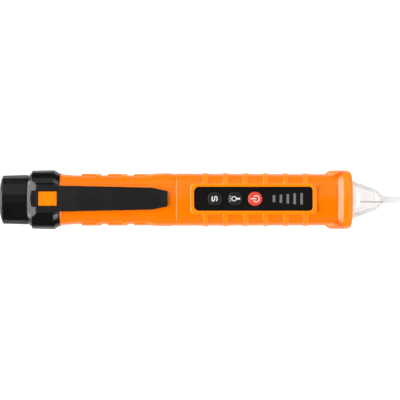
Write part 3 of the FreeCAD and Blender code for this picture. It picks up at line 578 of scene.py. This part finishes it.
def rear_barrel():
    """Waisted tube with side grips, the threaded neck behind and the lug that fills the clip's window."""
    path = rounded([
        (NECK_REAR, 7.6, 0.15),
        (NECK_REAR, 8.25, 0.3),
        (SEAT_REAR, 8.25),
        (SEAT_REAR, SEAT_RADIUS, 0.1),
        (BARREL_REAR, SEAT_RADIUS),
        (BARREL_REAR, BARREL_SHOULDER, 0.15),
        (BARREL_REAR + 0.8, 10.14, 1.2),
        (-49.4, WAIST, 12),
        (-23.6, WAIST, 16),
        (-17.6, BARREL_SHOULDER, 14),
        (-12.6, 10.63, 12),
        (BARREL_FRONT, 10.3, 0.12),
        (BARREL_FRONT, 9.65),
        (SPIGOT_REAR - 0.2, 9.65),
        (SPIGOT_REAR - 0.2, SPIGOT_BORE),
        (-55.0, SPIGOT_BORE),
        (-56.0, BARREL_BORE),
        (-65.0, BARREL_BORE),
        (-66.0, 7.6),
    ])
    outer = []
    for start, end in zip(path, path[1:] + path[:1]):
        longest = 0.12 if min(start[1], end[1]) > 9.5 and start[0] < -18 else 1.5
        outer += divided([start, end], longest, closed=False)[:-1]
    sides = [90 + side + sign * half for side in (0, 180) for sign in (-1, 1)
             for half in (PAD_HALF_ANGLE, BLOCK_HALF_ANGLE)]
    shell = lathe("barrel_shell", outer, around(2.5, sides, EDGE_OFFSETS), pad_shape)
    lug = slab(
        "lug", lambda inset: tablet_outline(LUG_REAR, LUG_FRONT, LUG_HALF, 0.3, 0.3, inset, 4),
        edge_levels(8.8, LUG_TOP, 0.35),
    )
    combine(shell, lug, "UNION")
    return join(shell, [thread_ridge()])


def housing_radius(x):
    """Outer radius of the slightly tapered housing, between its ribs."""
    share = (x - BARREL_FRONT) / (HOUSING_FRONT - BARREL_FRONT)
    return HOUSING_REAR_RADIUS + share * (HOUSING_FRONT_RADIUS - HOUSING_REAR_RADIUS)


def front_housing():
    """Ribbed tube with the raised rim of the panel."""
    points = [
        (SPIGOT_REAR, SPIGOT_BORE),
        (SPIGOT_REAR, 9.6, 0.3),
        (BARREL_FRONT + 0.05, 9.6),
        (BARREL_FRONT + 0.05, HOUSING_REAR_RADIUS - 0.24),
        (BARREL_FRONT + 0.42, HOUSING_REAR_RADIUS, 0.08),
    ]
    for i in range(RIB_COUNT):
        x = RIB_FIRST + i * RIB_PITCH
        r = housing_radius(x)
        foot = RIB_HALF_WIDTH + RIB_BEVEL
        points += [
            (x - foot, r, 0.12),
            (x - RIB_HALF_WIDTH, r + RIB_HEIGHT, 0.16),
            (x + RIB_HALF_WIDTH, r + RIB_HEIGHT, 0.16),
            (x + foot, r, 0.12),
        ]
    points += [
        (HOUSING_FRONT, HOUSING_FRONT_RADIUS, 0.15),
        (HOUSING_FRONT, SEAT_RADIUS),
        (NECK_FRONT, SEAT_RADIUS),
        (NECK_FRONT, 8.2),
        (HOUSING_FRONT, 8.2),
        (HOUSING_FRONT - 1, 8.9),
        (-8.0, 8.9),
        (-9.0, SPIGOT_BORE),
    ]
    shell = lathe("housing_shell", divided(rounded(points, 4), 2.0), around(2.0))
    cut = 0.35
    recess = slab(
        "recess",
        lambda inset: tablet_outline(
            PANEL_REAR - cut, PANEL_FRONT + cut, PANEL_HALF + cut, 2.0 + cut, 1.4 + cut, inset
        ),
        [(0, PANEL_BOTTOM), (0, RIM_TOP + 2)],
    )
    combine(shell, recess, "DIFFERENCE")
    window = slab(
        "window", lambda inset: tablet_outline(1.3, 43.8, 3.7, 0.3, 0.3, inset), [(0, 5), (0, 9.6)]
    )
    combine(shell, window, "DIFFERENCE")
    return combine(shell, panel_rim(), "UNION")


def on_rib_or_rim(x, y, z):
    """Whether a point of the housing's outside is on a rib or on the panel's rim."""
    if z > 8.2 and RIM_REAR < x < RIM_FRONT and abs(y) < RIM_HALF + 0.02:
        return True
    return math.hypot(y, z) > housing_radius(x) + RIB_HEIGHT - 0.12


def panel_rim():
    """Raised frame round the panel, whose foot follows the middle of the tube's wall."""
    gap = 0.04

    def outer(inset):
        return tablet_outline(RIM_REAR, RIM_FRONT, RIM_HALF, 2.5, 2.3, inset, 10)

    def inner(inset):
        return tablet_outline(
            PANEL_REAR - gap, PANEL_FRONT + gap, PANEL_HALF + gap, 2.0, 1.4, -inset, 10
        )

    def foot(outline):
        return [(x, y, math.sqrt(9.45 ** 2 - y ** 2)) for x, y in outline]

    outside = edge_levels(0, RIM_TOP, 0.5, 6)[1:]
    inside = edge_levels(0, RIM_TOP, 0.22, 4)[1:]
    loops = [foot(outer(0))]
    loops += [[(x, y, z) for x, y in outer(inset)] for inset, z in outside]
    loops += [[(x, y, z) for x, y in inner(inset)] for inset, z in reversed(inside)]
    loops.append(foot(inner(0)))
    return skin("panel_rim", loops, closed=True)


def nose_ring():
    """Band with a bright rear cone and a round front, and a wing on each flank."""
    bore = SEAT_RADIUS + 0.05
    front = rounded([
        (RING_CREST, RING_RADIUS),
        (60.45, RING_RADIUS - 0.1, 2.15),
        (RING_FRONT, 7.8, 0.15),
        (59.6, 7.8),
        (59.6, bore),
    ], 8, closed=False)
    sides = [90 + side + sign * WING_HALF_ANGLE for side in (0, 180) for sign in (-1, 1)]
    # The first point stands twice, so that both outlines have the same count of points.
    plain = rounded([
        (RING_REAR, 10.2), (RING_REAR, 10.2), (CONE_FRONT, RING_RADIUS, 0.5), (RING_CREST, RING_RADIUS),
    ], 6, closed=False)
    wing = rounded([
        (WING_REAR, 10.33), (50.7, 11.05), (52.0, RING_RADIUS - 0.1, 1.5), (RING_CREST, RING_RADIUS),
    ], 6, closed=False)
    seat_end = HOUSING_FRONT + 0.05
    plain_path = plain[:-1] + front + [(RING_REAR, bore), (RING_REAR, 9.6), (RING_REAR, 9.9)]
    wing_path = wing[:-1] + front + [(seat_end, bore), (seat_end, 10.28), (WING_REAR, 10.28)]
    angles = around(2.0, sides, (-3, -2, *EDGE_OFFSETS, 2, 3))
    loops = []
    for (plain_x, plain_r), (wing_x, wing_r) in zip(plain_path, wing_path):
        loop = []
        for angle in angles:
            from_side = abs((angle % 180) - 90)
            share = lobe((from_side / WING_HALF_ANGLE) ** 1.4)
            turn = math.radians(angle)
            x = plain_x + (wing_x - plain_x) * share
            r = plain_r + (wing_r - plain_r) * share
            if abs(angle - 180) < 40:  # the flat that the pen rests on
                r = soft_min(r, AXIS / abs(math.cos(turn)), 0.08)
            loop.append((x, r * math.sin(turn), r * math.cos(turn)))
        loops.append(loop)
    return skin("nose_ring_shell", loops, closed=True)


# ---- clear tip ----
def probe_tip():
    """Hollow clear cone that draws into a solid upright blade with a rounded end."""
    cone = rounded([
        (TIP_REAR + 1, TIP_BODY), (60.9, TIP_BODY, 0.5), (70.4, 4.05, 0.5),
        (72.9, 1.5, 2.4), (74.6, 1.15), (TIP_END, 1.0),
    ], 8, closed=False)

    def section(x, angle):
        """Distance from the axis to the joined cone and blade."""
        round_end = max(0.0, x - (TIP_END - BLADE_ROUND)) / BLADE_ROUND
        end = BLADE_ROUND * (1 - math.sqrt(max(0.0, 1 - round_end ** 2)))
        half_y = 1.45 - 0.2 * step_between(72.0, 76.0, x) - 0.85 * end
        half_z = 2.4 - 0.4 * max(0.0, x - 72.5) / (TIP_END - 72.5) - end
        across = abs(math.sin(math.radians(angle))) / half_y
        upward = abs(math.cos(math.radians(angle))) / half_z
        blade = (across ** 7 + upward ** 7) ** (-1 / 7)
        core = on_path(cone, x)
        if x > 73.0:
            return blade
        if x < 66.0:
            return core
        return -soft_min(-core, -blade, 0.5)

    angles = around(2.0)
    cavity = rounded([
        (TIP_CAVITY_END, 0.02), (TIP_CAVITY_END, 3.2, 0.9), (60.9, TIP_CAVITY, 0.4), (TIP_REAR, TIP_CAVITY),
    ], 5, closed=False)
    flange = [(TIP_REAR, TIP_FLANGE), (TIP_REAR + 1, TIP_FLANGE)]
    loops = []
    for x, r in divided(cavity, 0.8, closed=False) + flange:
        turns = [math.radians(angle) for angle in angles]
        loops.append([(x, r * math.sin(turn), r * math.cos(turn)) for turn in turns])
    blade_end = TIP_END - BLADE_ROUND
    along = [x for x, _ in divided(cone, 0.2, closed=False)]
    stations = [TIP_REAR + 1] + [x for x in along if TIP_REAR + 1 < x < blade_end]
    stations += [blade_end + BLADE_ROUND * math.sin(math.radians(turn)) for turn in range(0, 96, 6)]
    for x in stations:
        loop = []
        for angle in angles:
            r, turn = section(x, angle), math.radians(angle)
            loop.append((x, r * math.sin(turn), r * math.cos(turn)))
        loops.append(loop)
    shell = skin("probe_tip_shell", loops)
    antenna_slot = slab(
        "slot",
        lambda inset: [(69.5, -1.17), (73.1, -1.17), (73.1, -0.73), (69.5, -0.73)],
        [(0, -0.7), (0, 1.65)],
    )
    return combine(shell, antenna_slot, "DIFFERENCE")


def lamp_mount():
    """White cup round the lamps, closed by a round lens that the lamps and the antenna come through."""
    rear, front = low("led_mount").x + 0.02, high("led_mount").x - 0.4
    radius = high("led_mount").y - 0.05
    path = rounded([
        (rear, 0.02), (rear, radius, 0.2), (front, radius, 2.0), (front + LENS_RISE, 0.02),
        (front - 0.2, 0.02), (front - 0.4, radius - CUP_WALL, 1.8),
        (rear + 2.0, radius - CUP_WALL), (rear + 2.0, 0.02),
    ], 8)
    return lathe("lamp_mount_shell", divided(path, 0.5))


# ---- clip ----
def clip_collar():
    """Black ring round the barrel's seat: a flare behind, two lobes, the clip's land and a resting flat."""
    bore = SEAT_RADIUS + 0.05
    rear = [(COLLAR_REAR, bore, 0.1), (COLLAR_REAR, 9.75)]
    lip = COLLAR_FRONT - 0.4
    front = [
        (-58.2, COLLAR_RADIUS, 0.5), (lip, COLLAR_LIP, 0.05),
        (COLLAR_FRONT, COLLAR_EDGE, 0.1), (COLLAR_FRONT, bore),
    ]
    path = divided(rounded(rear + [(LOBE_REAR, 10.85), (LOBE_REAR + 0.1, 11.66, 0.4)] + front, 6), 0.6)
    ramp_front = ROOT_REAR - 0.12

    def shape(x, r, angle):
        turn = math.radians(angle)
        if r > bore + 0.02 and abs(math.sin(turn)) < 0.75:
            limit = COLLAR_LAND - 0.42 * max(0.0, ramp_front - x) if math.cos(turn) > 0 else AXIS
            r = max(bore, soft_min(r, limit / abs(math.cos(turn)), 0.1))
        return x, r

    edge = math.degrees(math.acos(COLLAR_LAND / 11.7))
    shell = lathe("collar_shell", path, around(2.0, (-edge, edge)), shape)
    half = LUG_HALF + 0.1
    slot = slab(
        "collar_slot",
        lambda inset: tablet_outline(LUG_REAR - 0.1, COLLAR_FRONT + 1, half, 0.2, 0.2, inset),
        [(0, 5), (0, 15)],
    )
    combine(shell, slot, "DIFFERENCE")
    for side in (-1, 1):
        groove = slab(
            "groove",
            lambda inset: tablet_outline(ROOT_REAR - 0.6, COLLAR_FRONT + 1, 0.18, 0.1, 0.1, inset, 2),
            [(0, 9.45), (0, 12)],
        )
        groove.location.y = side * 6.12 / 1000
        combine(shell, groove, "DIFFERENCE")
    flare_path = rear + [(ramp_front, 11.24, 0.1), (ramp_front, bore)]
    flare = lathe("collar_flare", divided(rounded(flare_path, 6), 0.4), around(2.0))
    behind_clip = slab(
        "behind_clip",
        lambda inset: [
            (COLLAR_REAR - 1, -6.3), (LOBE_REAR, -6.3), (ramp_front, -5.2),
            (ramp_front, 5.2), (LOBE_REAR, 6.3), (COLLAR_REAR - 1, 6.3),
        ],
        [(0, 5), (0, 20)],
    )
    combine(flare, behind_clip, "INTERSECT")
    return combine(shell, flare, "UNION")


def clip_arm_path():
    """Along the pen: height of the arm's underside, height of its top, and its half width."""
    under = rounded([
        (CLIP_JOINT - 1.5, 10.75), (CLIP_JOINT, 10.8), (-52.0, 11.0, 4), (-40.0, 11.45, 30), (-21.5, 11.1, 4),
        (-15.4, 10.62, 1.5), (CLIP_END, 10.95),
    ], 8, closed=False)
    top = rounded([
        (CLIP_JOINT - 1.5, CLIP_TOP - 0.02), (CLIP_JOINT, CLIP_TOP), (-48.0, 12.75, 30), (-34.0, 12.85, 60),
        (-16.0, 12.1, 4), (CLIP_END, 11.5),
    ], 8, closed=False)
    plan = rounded([
        (CLIP_JOINT - 1.5, 5.1), (-51.0, 5.06, 10), (-19.0, 4.35, 4), (CLIP_END, 3.0),
    ], 8, closed=False)
    return under, top, plan


def clip():
    """Frame round the lug, tongue over the collar and springy arm, moulded as one."""
    floor_z = COLLAR_LAND + 0.02
    levels = []
    for inset, z in edge_levels(floor_z, CLIP_TOP, 0.12):
        draft = (ROOT_HALF - ROOT_TOP_HALF) * (z - floor_z) / (CLIP_TOP - floor_z)
        levels.append([
            (x, y - math.copysign(draft, y), z)
            for x, y in tablet_outline(ROOT_REAR, CLIP_JOINT - 0.05, ROOT_HALF, 0.8, 0.4, inset)
        ])
    root = skin("clip_frame", levels)

    def tongue_outline(inset):
        half = 3.25 - inset
        rear, front = TONGUE_REAR - 0.07 + inset, ROOT_REAR + 0.4
        return rounded([
            (front, -half), (front, half), (rear + 0.5, half, 0.6), (rear, 0, 6), (rear + 0.5, -half, 0.6),
        ], 6)

    tongue = slab("clip_tongue", tongue_outline, edge_levels(11.35, 12.1, 0.2))
    under, top, plan = clip_arm_path()
    length = CLIP_END - CLIP_JOINT
    stations = [CLIP_JOINT - 1.0 + (length + 0.7) * i / 110 for i in range(111)]
    end_corner, end_length, crown = 0.45, 0.3, 0.06
    stations += [CLIP_END - end_length + end_length * math.sin(math.radians(turn)) for turn in (30, 60, 90)]
    loops = []
    for x in stations:
        ahead = max(0.0, x - (CLIP_END - end_length)) / end_length
        drawn_in = end_corner * (1 - math.sqrt(max(0.0, 1 - ahead ** 2))) * 0.5
        half = on_path(plan, x) - drawn_in
        z0, z1 = on_path(under, x) + drawn_in * 0.4, on_path(top, x) - drawn_in * 0.4
        corner = min(0.35, (z1 - z0) * 0.32)
        section = rounded([
            (-half, z0, 0.12), (half, z0, 0.12),
            (half, z1 - crown, corner), (0, z1, 12), (-half, z1 - crown, corner),
        ], 5)
        loops.append([(x, y, z) for y, z in section])
    arm = skin("clip_spring", loops)
    combine(root, tongue, "UNION")
    combine(root, arm, "UNION")
    gap = 0.12
    window = slab(
        "clip_window",
        lambda inset: tablet_outline(LUG_REAR - gap, LUG_FRONT + gap, LUG_HALF + gap, 0.4, 0.4, inset),
        [(0, 5), (0, 20)],
    )
    return combine(root, window, "DIFFERENCE")


# ---- control panel ----
def control_panel():
    """Black plate with round button holes and slots for the level bars."""
    plate = slab(
        "panel_plate",
        lambda inset: tablet_outline(PANEL_REAR, PANEL_FRONT, PANEL_HALF, 2.0, 1.4, inset, 10),
        edge_levels(PANEL_BOTTOM, PANEL_TOP, 0.2),
    )
    for name, x in BUTTONS.items():
        edge = BUTTON_RADII[name] + 0.1
        hole = turned_upright("hole", [
            (0, PANEL_BOTTOM - 1), (edge, PANEL_BOTTOM - 1), (edge, PANEL_TOP - 0.15),
            (edge + 0.15, PANEL_TOP), (edge + 0.15, PANEL_TOP + 1), (0, PANEL_TOP + 1),
        ], x)
        combine(plate, hole, "DIFFERENCE")
    for x, half_width, half_length in bar_places():
        gap = 0.04
        slot = slab(
            "bar_slot",
            lambda inset: tablet_outline(
                x - half_width - gap, x + half_width + gap, half_length + gap, 0.15, 0.15, inset, 3
            ),
            [(0, PANEL_BOTTOM - 1), (0, PANEL_TOP + 1)],
        )
        combine(plate, slot, "DIFFERENCE")
    return plate


def bar_places():
    """Middle, half width and half length of each level bar."""
    return [(BAR_FIRST + BAR_PITCH * i, BAR_HALF_WIDTH, length / 2) for i, length in enumerate(BAR_LENGTHS)]


def level_light_guide():
    """Five bars that fill the panel's slots, on a common base with a leg down to each lamp."""
    top = high("level_light_guide").z - AXIS
    pieces = []
    for x, half_width, half_length in bar_places():
        pieces.append(slab(
            "guide_bar",
            lambda inset: tablet_outline(x - half_width, x + half_width, half_length, 0.12, 0.12, inset, 3),
            edge_levels(GUIDE_BASE_BOTTOM, top, 0.08),
        ))
        pieces.append(slab(
            "guide_leg",
            lambda inset: tablet_outline(x - 0.45, x + 0.45, 1.2, 0.05, 0.05, inset, 2),
            [(0, 6.2), (0, 8.3)],
        ))
    base = slab(
        "guide_base",
        lambda inset: tablet_outline(28.2, 42.0, 3.3, 0.3, 0.3, inset, 3),
        [(0, GUIDE_BASE_BOTTOM), (0, 9.05)],
    )
    for piece in pieces:
        combine(base, piece, "UNION")
    return base


def push_button(name):
    """Cap with a soft edge and a shallow dish, on its flange and stem."""
    radius = BUTTON_RADII[name]
    cap = rounded([
        (radius, 9.0),
        (radius, BUTTON_TOP, 0.4),
        (radius - 0.75, BUTTON_TOP - 0.02),
        (radius - 1.3, BUTTON_TOP - 0.08),
        (0, BUTTON_TOP - 0.1),
    ], 6, closed=False)
    stem, flange, flange_bottom = 1.3, 3.4, 8.25
    path = [(0, 7.4), (stem, 7.4), (stem, flange_bottom), (flange, flange_bottom), (flange, 9.0)] + cap
    return turned_upright(name + "_cap", path, BUTTONS[name])


# ---- marks on the buttons ----
def stroke(name, points, width, closed=False):
    """Flat mark of even width that follows a line of (x, y) points on a button's top."""
    count = len(points)
    left, right = [], []
    for i, point in enumerate(points):
        before = points[(i - 1) % count] if closed or i else point
        after = points[(i + 1) % count] if closed or i < count - 1 else point
        along = (Vector(after) - Vector(before)).normalized()
        side = Vector((-along.y, along.x)) * width / 2
        left.append(Vector(point) + side)
        right.append(Vector(point) - side)
    bottom, top = BUTTON_TOP - 0.12, BUTTON_TOP + 0.06
    loops = []
    for a, b in zip(left, right):
        loops.append([(a.x, a.y, bottom), (a.x, a.y, top), (b.x, b.y, top), (b.x, b.y, bottom)])
    return skin(name, loops, closed=closed)


def arc(x, y, radius_x, radius_y, start, end, steps=28):
    """Points along part of an ellipse, angles in degrees from +x towards +y."""
    turns = [math.radians(start + (end - start) * i / steps) for i in range(steps + 1)]
    return [(x + radius_x * math.cos(turn), y + radius_y * math.sin(turn)) for turn in turns]


def sensitivity_symbol():
    """Double bend of two opposed arcs."""
    x = BUTTONS["sensitivity"] - 0.15
    bend, reach = 0.52, 0.92
    front = arc(x + bend, 0, bend, reach, -75, 180)
    rear = arc(x - bend, 0, bend, reach, 0, -255)
    return stroke("sensitivity_mark", front + rear[1:], 0.38)


def flashlight_symbol():
    """Torch lying along the pen: handle, hollow head and three rays."""
    x = BUTTONS["flashlight"]
    head = stroke("torch_head", arc(x - 0.4, 0, 0.88, 0.85, 0, 350, 36), 0.3, closed=True)
    handle = stroke("torch_handle", [(x + 0.55, 0), (x + 1.95, 0)], 0.68)
    rays = [stroke("torch_ray", [(x - 2.2, 1.4 * y), (x - 1.6, y)], 0.2) for y in (-0.75, 0.0, 0.75)]
    return join(head, [handle, *rays])


def power_symbol():
    """Broken ring with a bar through the gap, which faces the tail."""
    x = BUTTONS["power"]
    circle = stroke("power_ring", arc(x + 0.45, 0, 1.22, 1.22, -145, 145, 48), 0.34)
    bar = stroke("power_bar", [(x - 1.95, 0), (x + 0.45, 0)], 0.34)
    return join(circle, [bar])


# ---- tail cap ----
def tail_cap():
    """Faceted screw cap with a domed end."""
    half_facet = 180 / FACETS
    rear_apothem, front_apothem = 9.6, 9.86

    def facet_radius(x, angle):
        """Distance to the faceted wall; its arrises are slightly rounded."""
        share = (x - TAIL_END) / (CAP_MOUTH - TAIL_END)
        apothem = rear_apothem + share * (front_apothem - rear_apothem)
        off = (angle + half_facet) % (2 * half_facet) - half_facet
        sharp = apothem / math.cos(math.radians(off))
        return soft_min(sharp, apothem / math.cos(math.radians(half_facet)) - 0.01, 0.06)

    dome = rounded([
        (TAIL_END, 0), (TAIL_END, 5.6, 4), (-79.1, 8.9, 1.0), (DOME_FRONT, CAP_OUTER),
    ], 8, closed=False)
    outer = [point for point in divided(dome, 0.25, closed=False) if point[1] > 0.02]
    wall = [(DOME_FRONT, CAP_OUTER), (CAP_MOUTH - 0.35, CAP_OUTER), (CAP_MOUTH, 9.6)]
    outer = [(TAIL_END, 0.02)] + outer + divided(wall, 0.5, closed=False)[1:]
    loops = []
    arrises = [half_facet * (2 * i + 1) for i in range(FACETS)]
    angles = around(half_facet / 4, arrises, (-0.5, -0.25, 0.0, 0.25, 0.5))
    for x, r in outer:
        loop = []
        for angle in angles:
            turn = math.radians(angle)
            reach = soft_min(r, facet_radius(x, angle), 0.12) if r > 7.5 else r
            loop.append((x, reach * math.sin(turn), reach * math.cos(turn)))
        loops.append(loop)
    seal_end, floor_x = CAP_MOUTH - 1.7, -77.0
    inside = [(CAP_MOUTH, 9.1), (seal_end, 9.1), (seal_end, CAP_BORE), (floor_x, CAP_BORE), (floor_x, 0.02)]
    for x, r in inside:
        turns = [math.radians(angle) for angle in angles]
        loops.append([(x, r * math.sin(turn), r * math.cos(turn)) for turn in turns])
    return skin("tail_cap_shell", loops)


# ---- putting the pen together ----
def build_pen():
    """Builds each visible piece, dresses it, and gives the pieces inside their own materials."""
    barrel = dress(rear_barrel(), ORANGE, ["rear_barrel"], "tester")
    # Painted light: the grip blocks and the lug's top take the lighter orange of faces that catch more light.
    paint(barrel, ORANGE_LIT_RAISED, on_grip_block)
    paint(barrel, ORANGE_LIT_RAISED, lambda x, y, z: z > LUG_TOP - 0.4)
    housing = dress(front_housing(), ORANGE, ["front_housing"], "tester", 30)
    # Painted light: the ribs and the panel rim take the lighter orange of faces that catch more light.
    paint(housing, ORANGE_LIT_RAISED, on_rib_or_rim)
    ring = dress(nose_ring(), ORANGE, ["nose_ring"], "tester", 30)
    # Painted light: the ring's band takes the lighter orange of faces that catch more light.
    paint(ring, ORANGE_LIT_RAISED, lambda x, y, z: x > CONE_FRONT and math.hypot(y, z) > 9.5)
    # Painted light: the ring's front strip in a lighter orange, with low gloss.
    paint(ring, ORANGE_SATIN_LIT, lambda x, y, z: x > 59.3 and math.hypot(y, z) > 7.9)
    # Painted shade: the ring's rear cone in a darker orange, held down against the strong light on it, with
    # stronger gloss.
    paint(ring, ORANGE_GLOSSY_SHADED, lambda x, y, z: 54.75 < x < CONE_FRONT and math.hypot(y, z) > 9.5)
    tip = dress(probe_tip(), CLEAR_TIP, ["probe_tip"], "tester", 30)
    paint(tip, CLEAR_BLADE, lambda x, y, z: x > 71.8)
    paint(tip, CLEAR_INSIDE, lambda x, y, z: x < 70.1 and math.hypot(y, z) < 6.95 - 0.37 * (x - 60.9))
    # Painted light: the lamp mount glows faintly, which lifts it out of the shade inside the tip.
    dress(lamp_mount(), MILKY_GLOWING, ["led_mount"], "tester", 30)
    dress(clip_collar(), CAP_BLACK, ["clip_collar"], "tester", 30)
    spring = dress(clip(), CLIP_BLACK, ["clip_root", "clip_arm"], None)
    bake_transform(spring)
    dress(control_panel(), PANEL_BLACK, ["control_panel"], "tester", 30)
    dress(level_light_guide(), GUIDE_GREY, ["level_light_guide"], "tester", 30)
    marks = {"sensitivity": sensitivity_symbol, "flashlight": flashlight_symbol, "power": power_symbol}
    for name, draw in marks.items():
        body = name + "_button"
        colour, slot = (BUTTON_RED, "button_red") if name == "power" else (BUTTON_BLACK, "button_black")
        dress(push_button(name), colour, [name + "_button"], body, 30)
        dress(draw(), MARK_WHITE, [name + "_symbol"], body, 30)
    dress(tail_cap(), CAP_BLACK, ["tail_cap"], "tail_cap", 12)
    for node, material in INNER_MATERIALS.items():
        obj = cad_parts[node]
        obj.data.materials.clear()
        obj.data.materials.append(material)


# ---- stage, light and camera ----
def floor():
    """Pale floor with a faint light of its own, which the pen's gloss doesn't mirror."""
    mesh = bpy.data.meshes.new("floor")
    size = 3.0
    corners = [(-size, -size, 0), (size, -size, 0), (size, size, 0), (-size, size, 0)]
    mesh.from_pydata(corners, [], [(0, 1, 2, 3)])
    obj = bpy.data.objects.new("floor", mesh)
    bpy.context.scene.collection.objects.link(obj)
    material = bpy.data.materials.new("floor_white")
    material.use_nodes = True
    tree = material.node_tree
    shader = tree.nodes["Principled BSDF"]
    shader.inputs["Roughness"].default_value = 0.9
    shader.inputs["Specular IOR Level"].default_value = 0.1
    shader.inputs["Base Color"].default_value = (0.88, 0.88, 0.88, 1)
    shader.inputs["Emission Color"].default_value = (1, 1, 1, 1)
    shader.inputs["Emission Strength"].default_value = 0.35
    mesh.materials.append(material)
    obj.location.z = -0.0005
    obj.visible_glossy = False


def studio_light():
    """Soft surround: bright beyond the pen's two ends, and dim beside it.

    Beside the pen the +y side is the brighter one, and ahead of the tip the -y side is.
    """
    world = bpy.data.worlds.new("studio")
    world.use_nodes = True
    tree = world.node_tree
    direction = tree.nodes.new("ShaderNodeTexCoord").outputs["Generated"]
    split = tree.nodes.new("ShaderNodeSeparateXYZ")
    tree.links.new(direction, split.inputs[0])

    def ramp(axis, from_value, to_value, low_light, high_light):
        node = tree.nodes.new("ShaderNodeMapRange")
        node.interpolation_type = "SMOOTHSTEP"
        node.inputs["From Min"].default_value = from_value
        node.inputs["From Max"].default_value = to_value
        node.inputs["To Min"].default_value = low_light
        node.inputs["To Max"].default_value = high_light
        tree.links.new(split.outputs[axis], node.inputs["Value"])
        return node.outputs["Result"]

    def joined(operation, first, second):
        node = tree.nodes.new("ShaderNodeMath")
        node.operation = operation
        tree.links.new(first, node.inputs[0])
        tree.links.new(second, node.inputs[1])
        return node.outputs[0]

    beside = ramp("Y", -0.15, 0.5, 0.02, 0.5)
    tail_side = ramp("X", -0.35, -0.75, 0.0, 5.0)
    tip_side = joined("MULTIPLY", ramp("X", 0.35, 0.75, 0.0, 1.0), ramp("Y", -0.6, 0.1, 4.2, 1.8))
    above = joined("MULTIPLY", beside, ramp("Z", -0.05, 0.0, 0.0, 1.0))
    behind_tail = joined("MULTIPLY", tail_side, ramp("Z", -0.5, -0.35, 0.0, 1.0))
    ahead_of_tip = joined("MULTIPLY", tip_side, ramp("Z", -0.25, -0.1, 0.0, 1.0))
    beyond = joined("ADD", behind_tail, ahead_of_tip)
    below = ramp("Z", -0.55, -0.78, 0.0, 0.8)
    total = joined("ADD", joined("ADD", above, beyond), below)
    seen = tree.nodes.new("ShaderNodeMix")
    tree.links.new(tree.nodes.new("ShaderNodeLightPath").outputs["Is Camera Ray"], seen.inputs[0])
    tree.links.new(total, seen.inputs[2])
    seen.inputs[3].default_value = 1.0
    tree.links.new(seen.outputs[0], tree.nodes["Background"].inputs["Strength"])
    tree.nodes["Background"].inputs["Color"].default_value = (1, 1, 1, 1)
    bpy.context.scene.world = world
    bpy.context.scene.view_settings.view_transform = "Standard"


def camera():
    """Camera straight above, leaning a little towards the -y side."""
    data = bpy.data.cameras.new("camera")
    obj = bpy.data.objects.new("camera", data)
    bpy.context.scene.collection.objects.link(obj)
    distance, lean, frame_width = 0.95, math.radians(2.0), 0.160
    aim = Vector((0, -0.00013, AXIS / 1000))
    back = Vector((0, -math.sin(lean), math.cos(lean)))
    obj.location = aim + back * distance
    obj.rotation_mode = "QUATERNION"
    obj.rotation_quaternion = (-back).to_track_quat("-Z", "Y")
    data.lens = data.sensor_width * distance / frame_width
    data.clip_start, data.clip_end = 0.01, 10
    bpy.context.scene.camera = obj


build_pen()
floor()
studio_light()
camera()
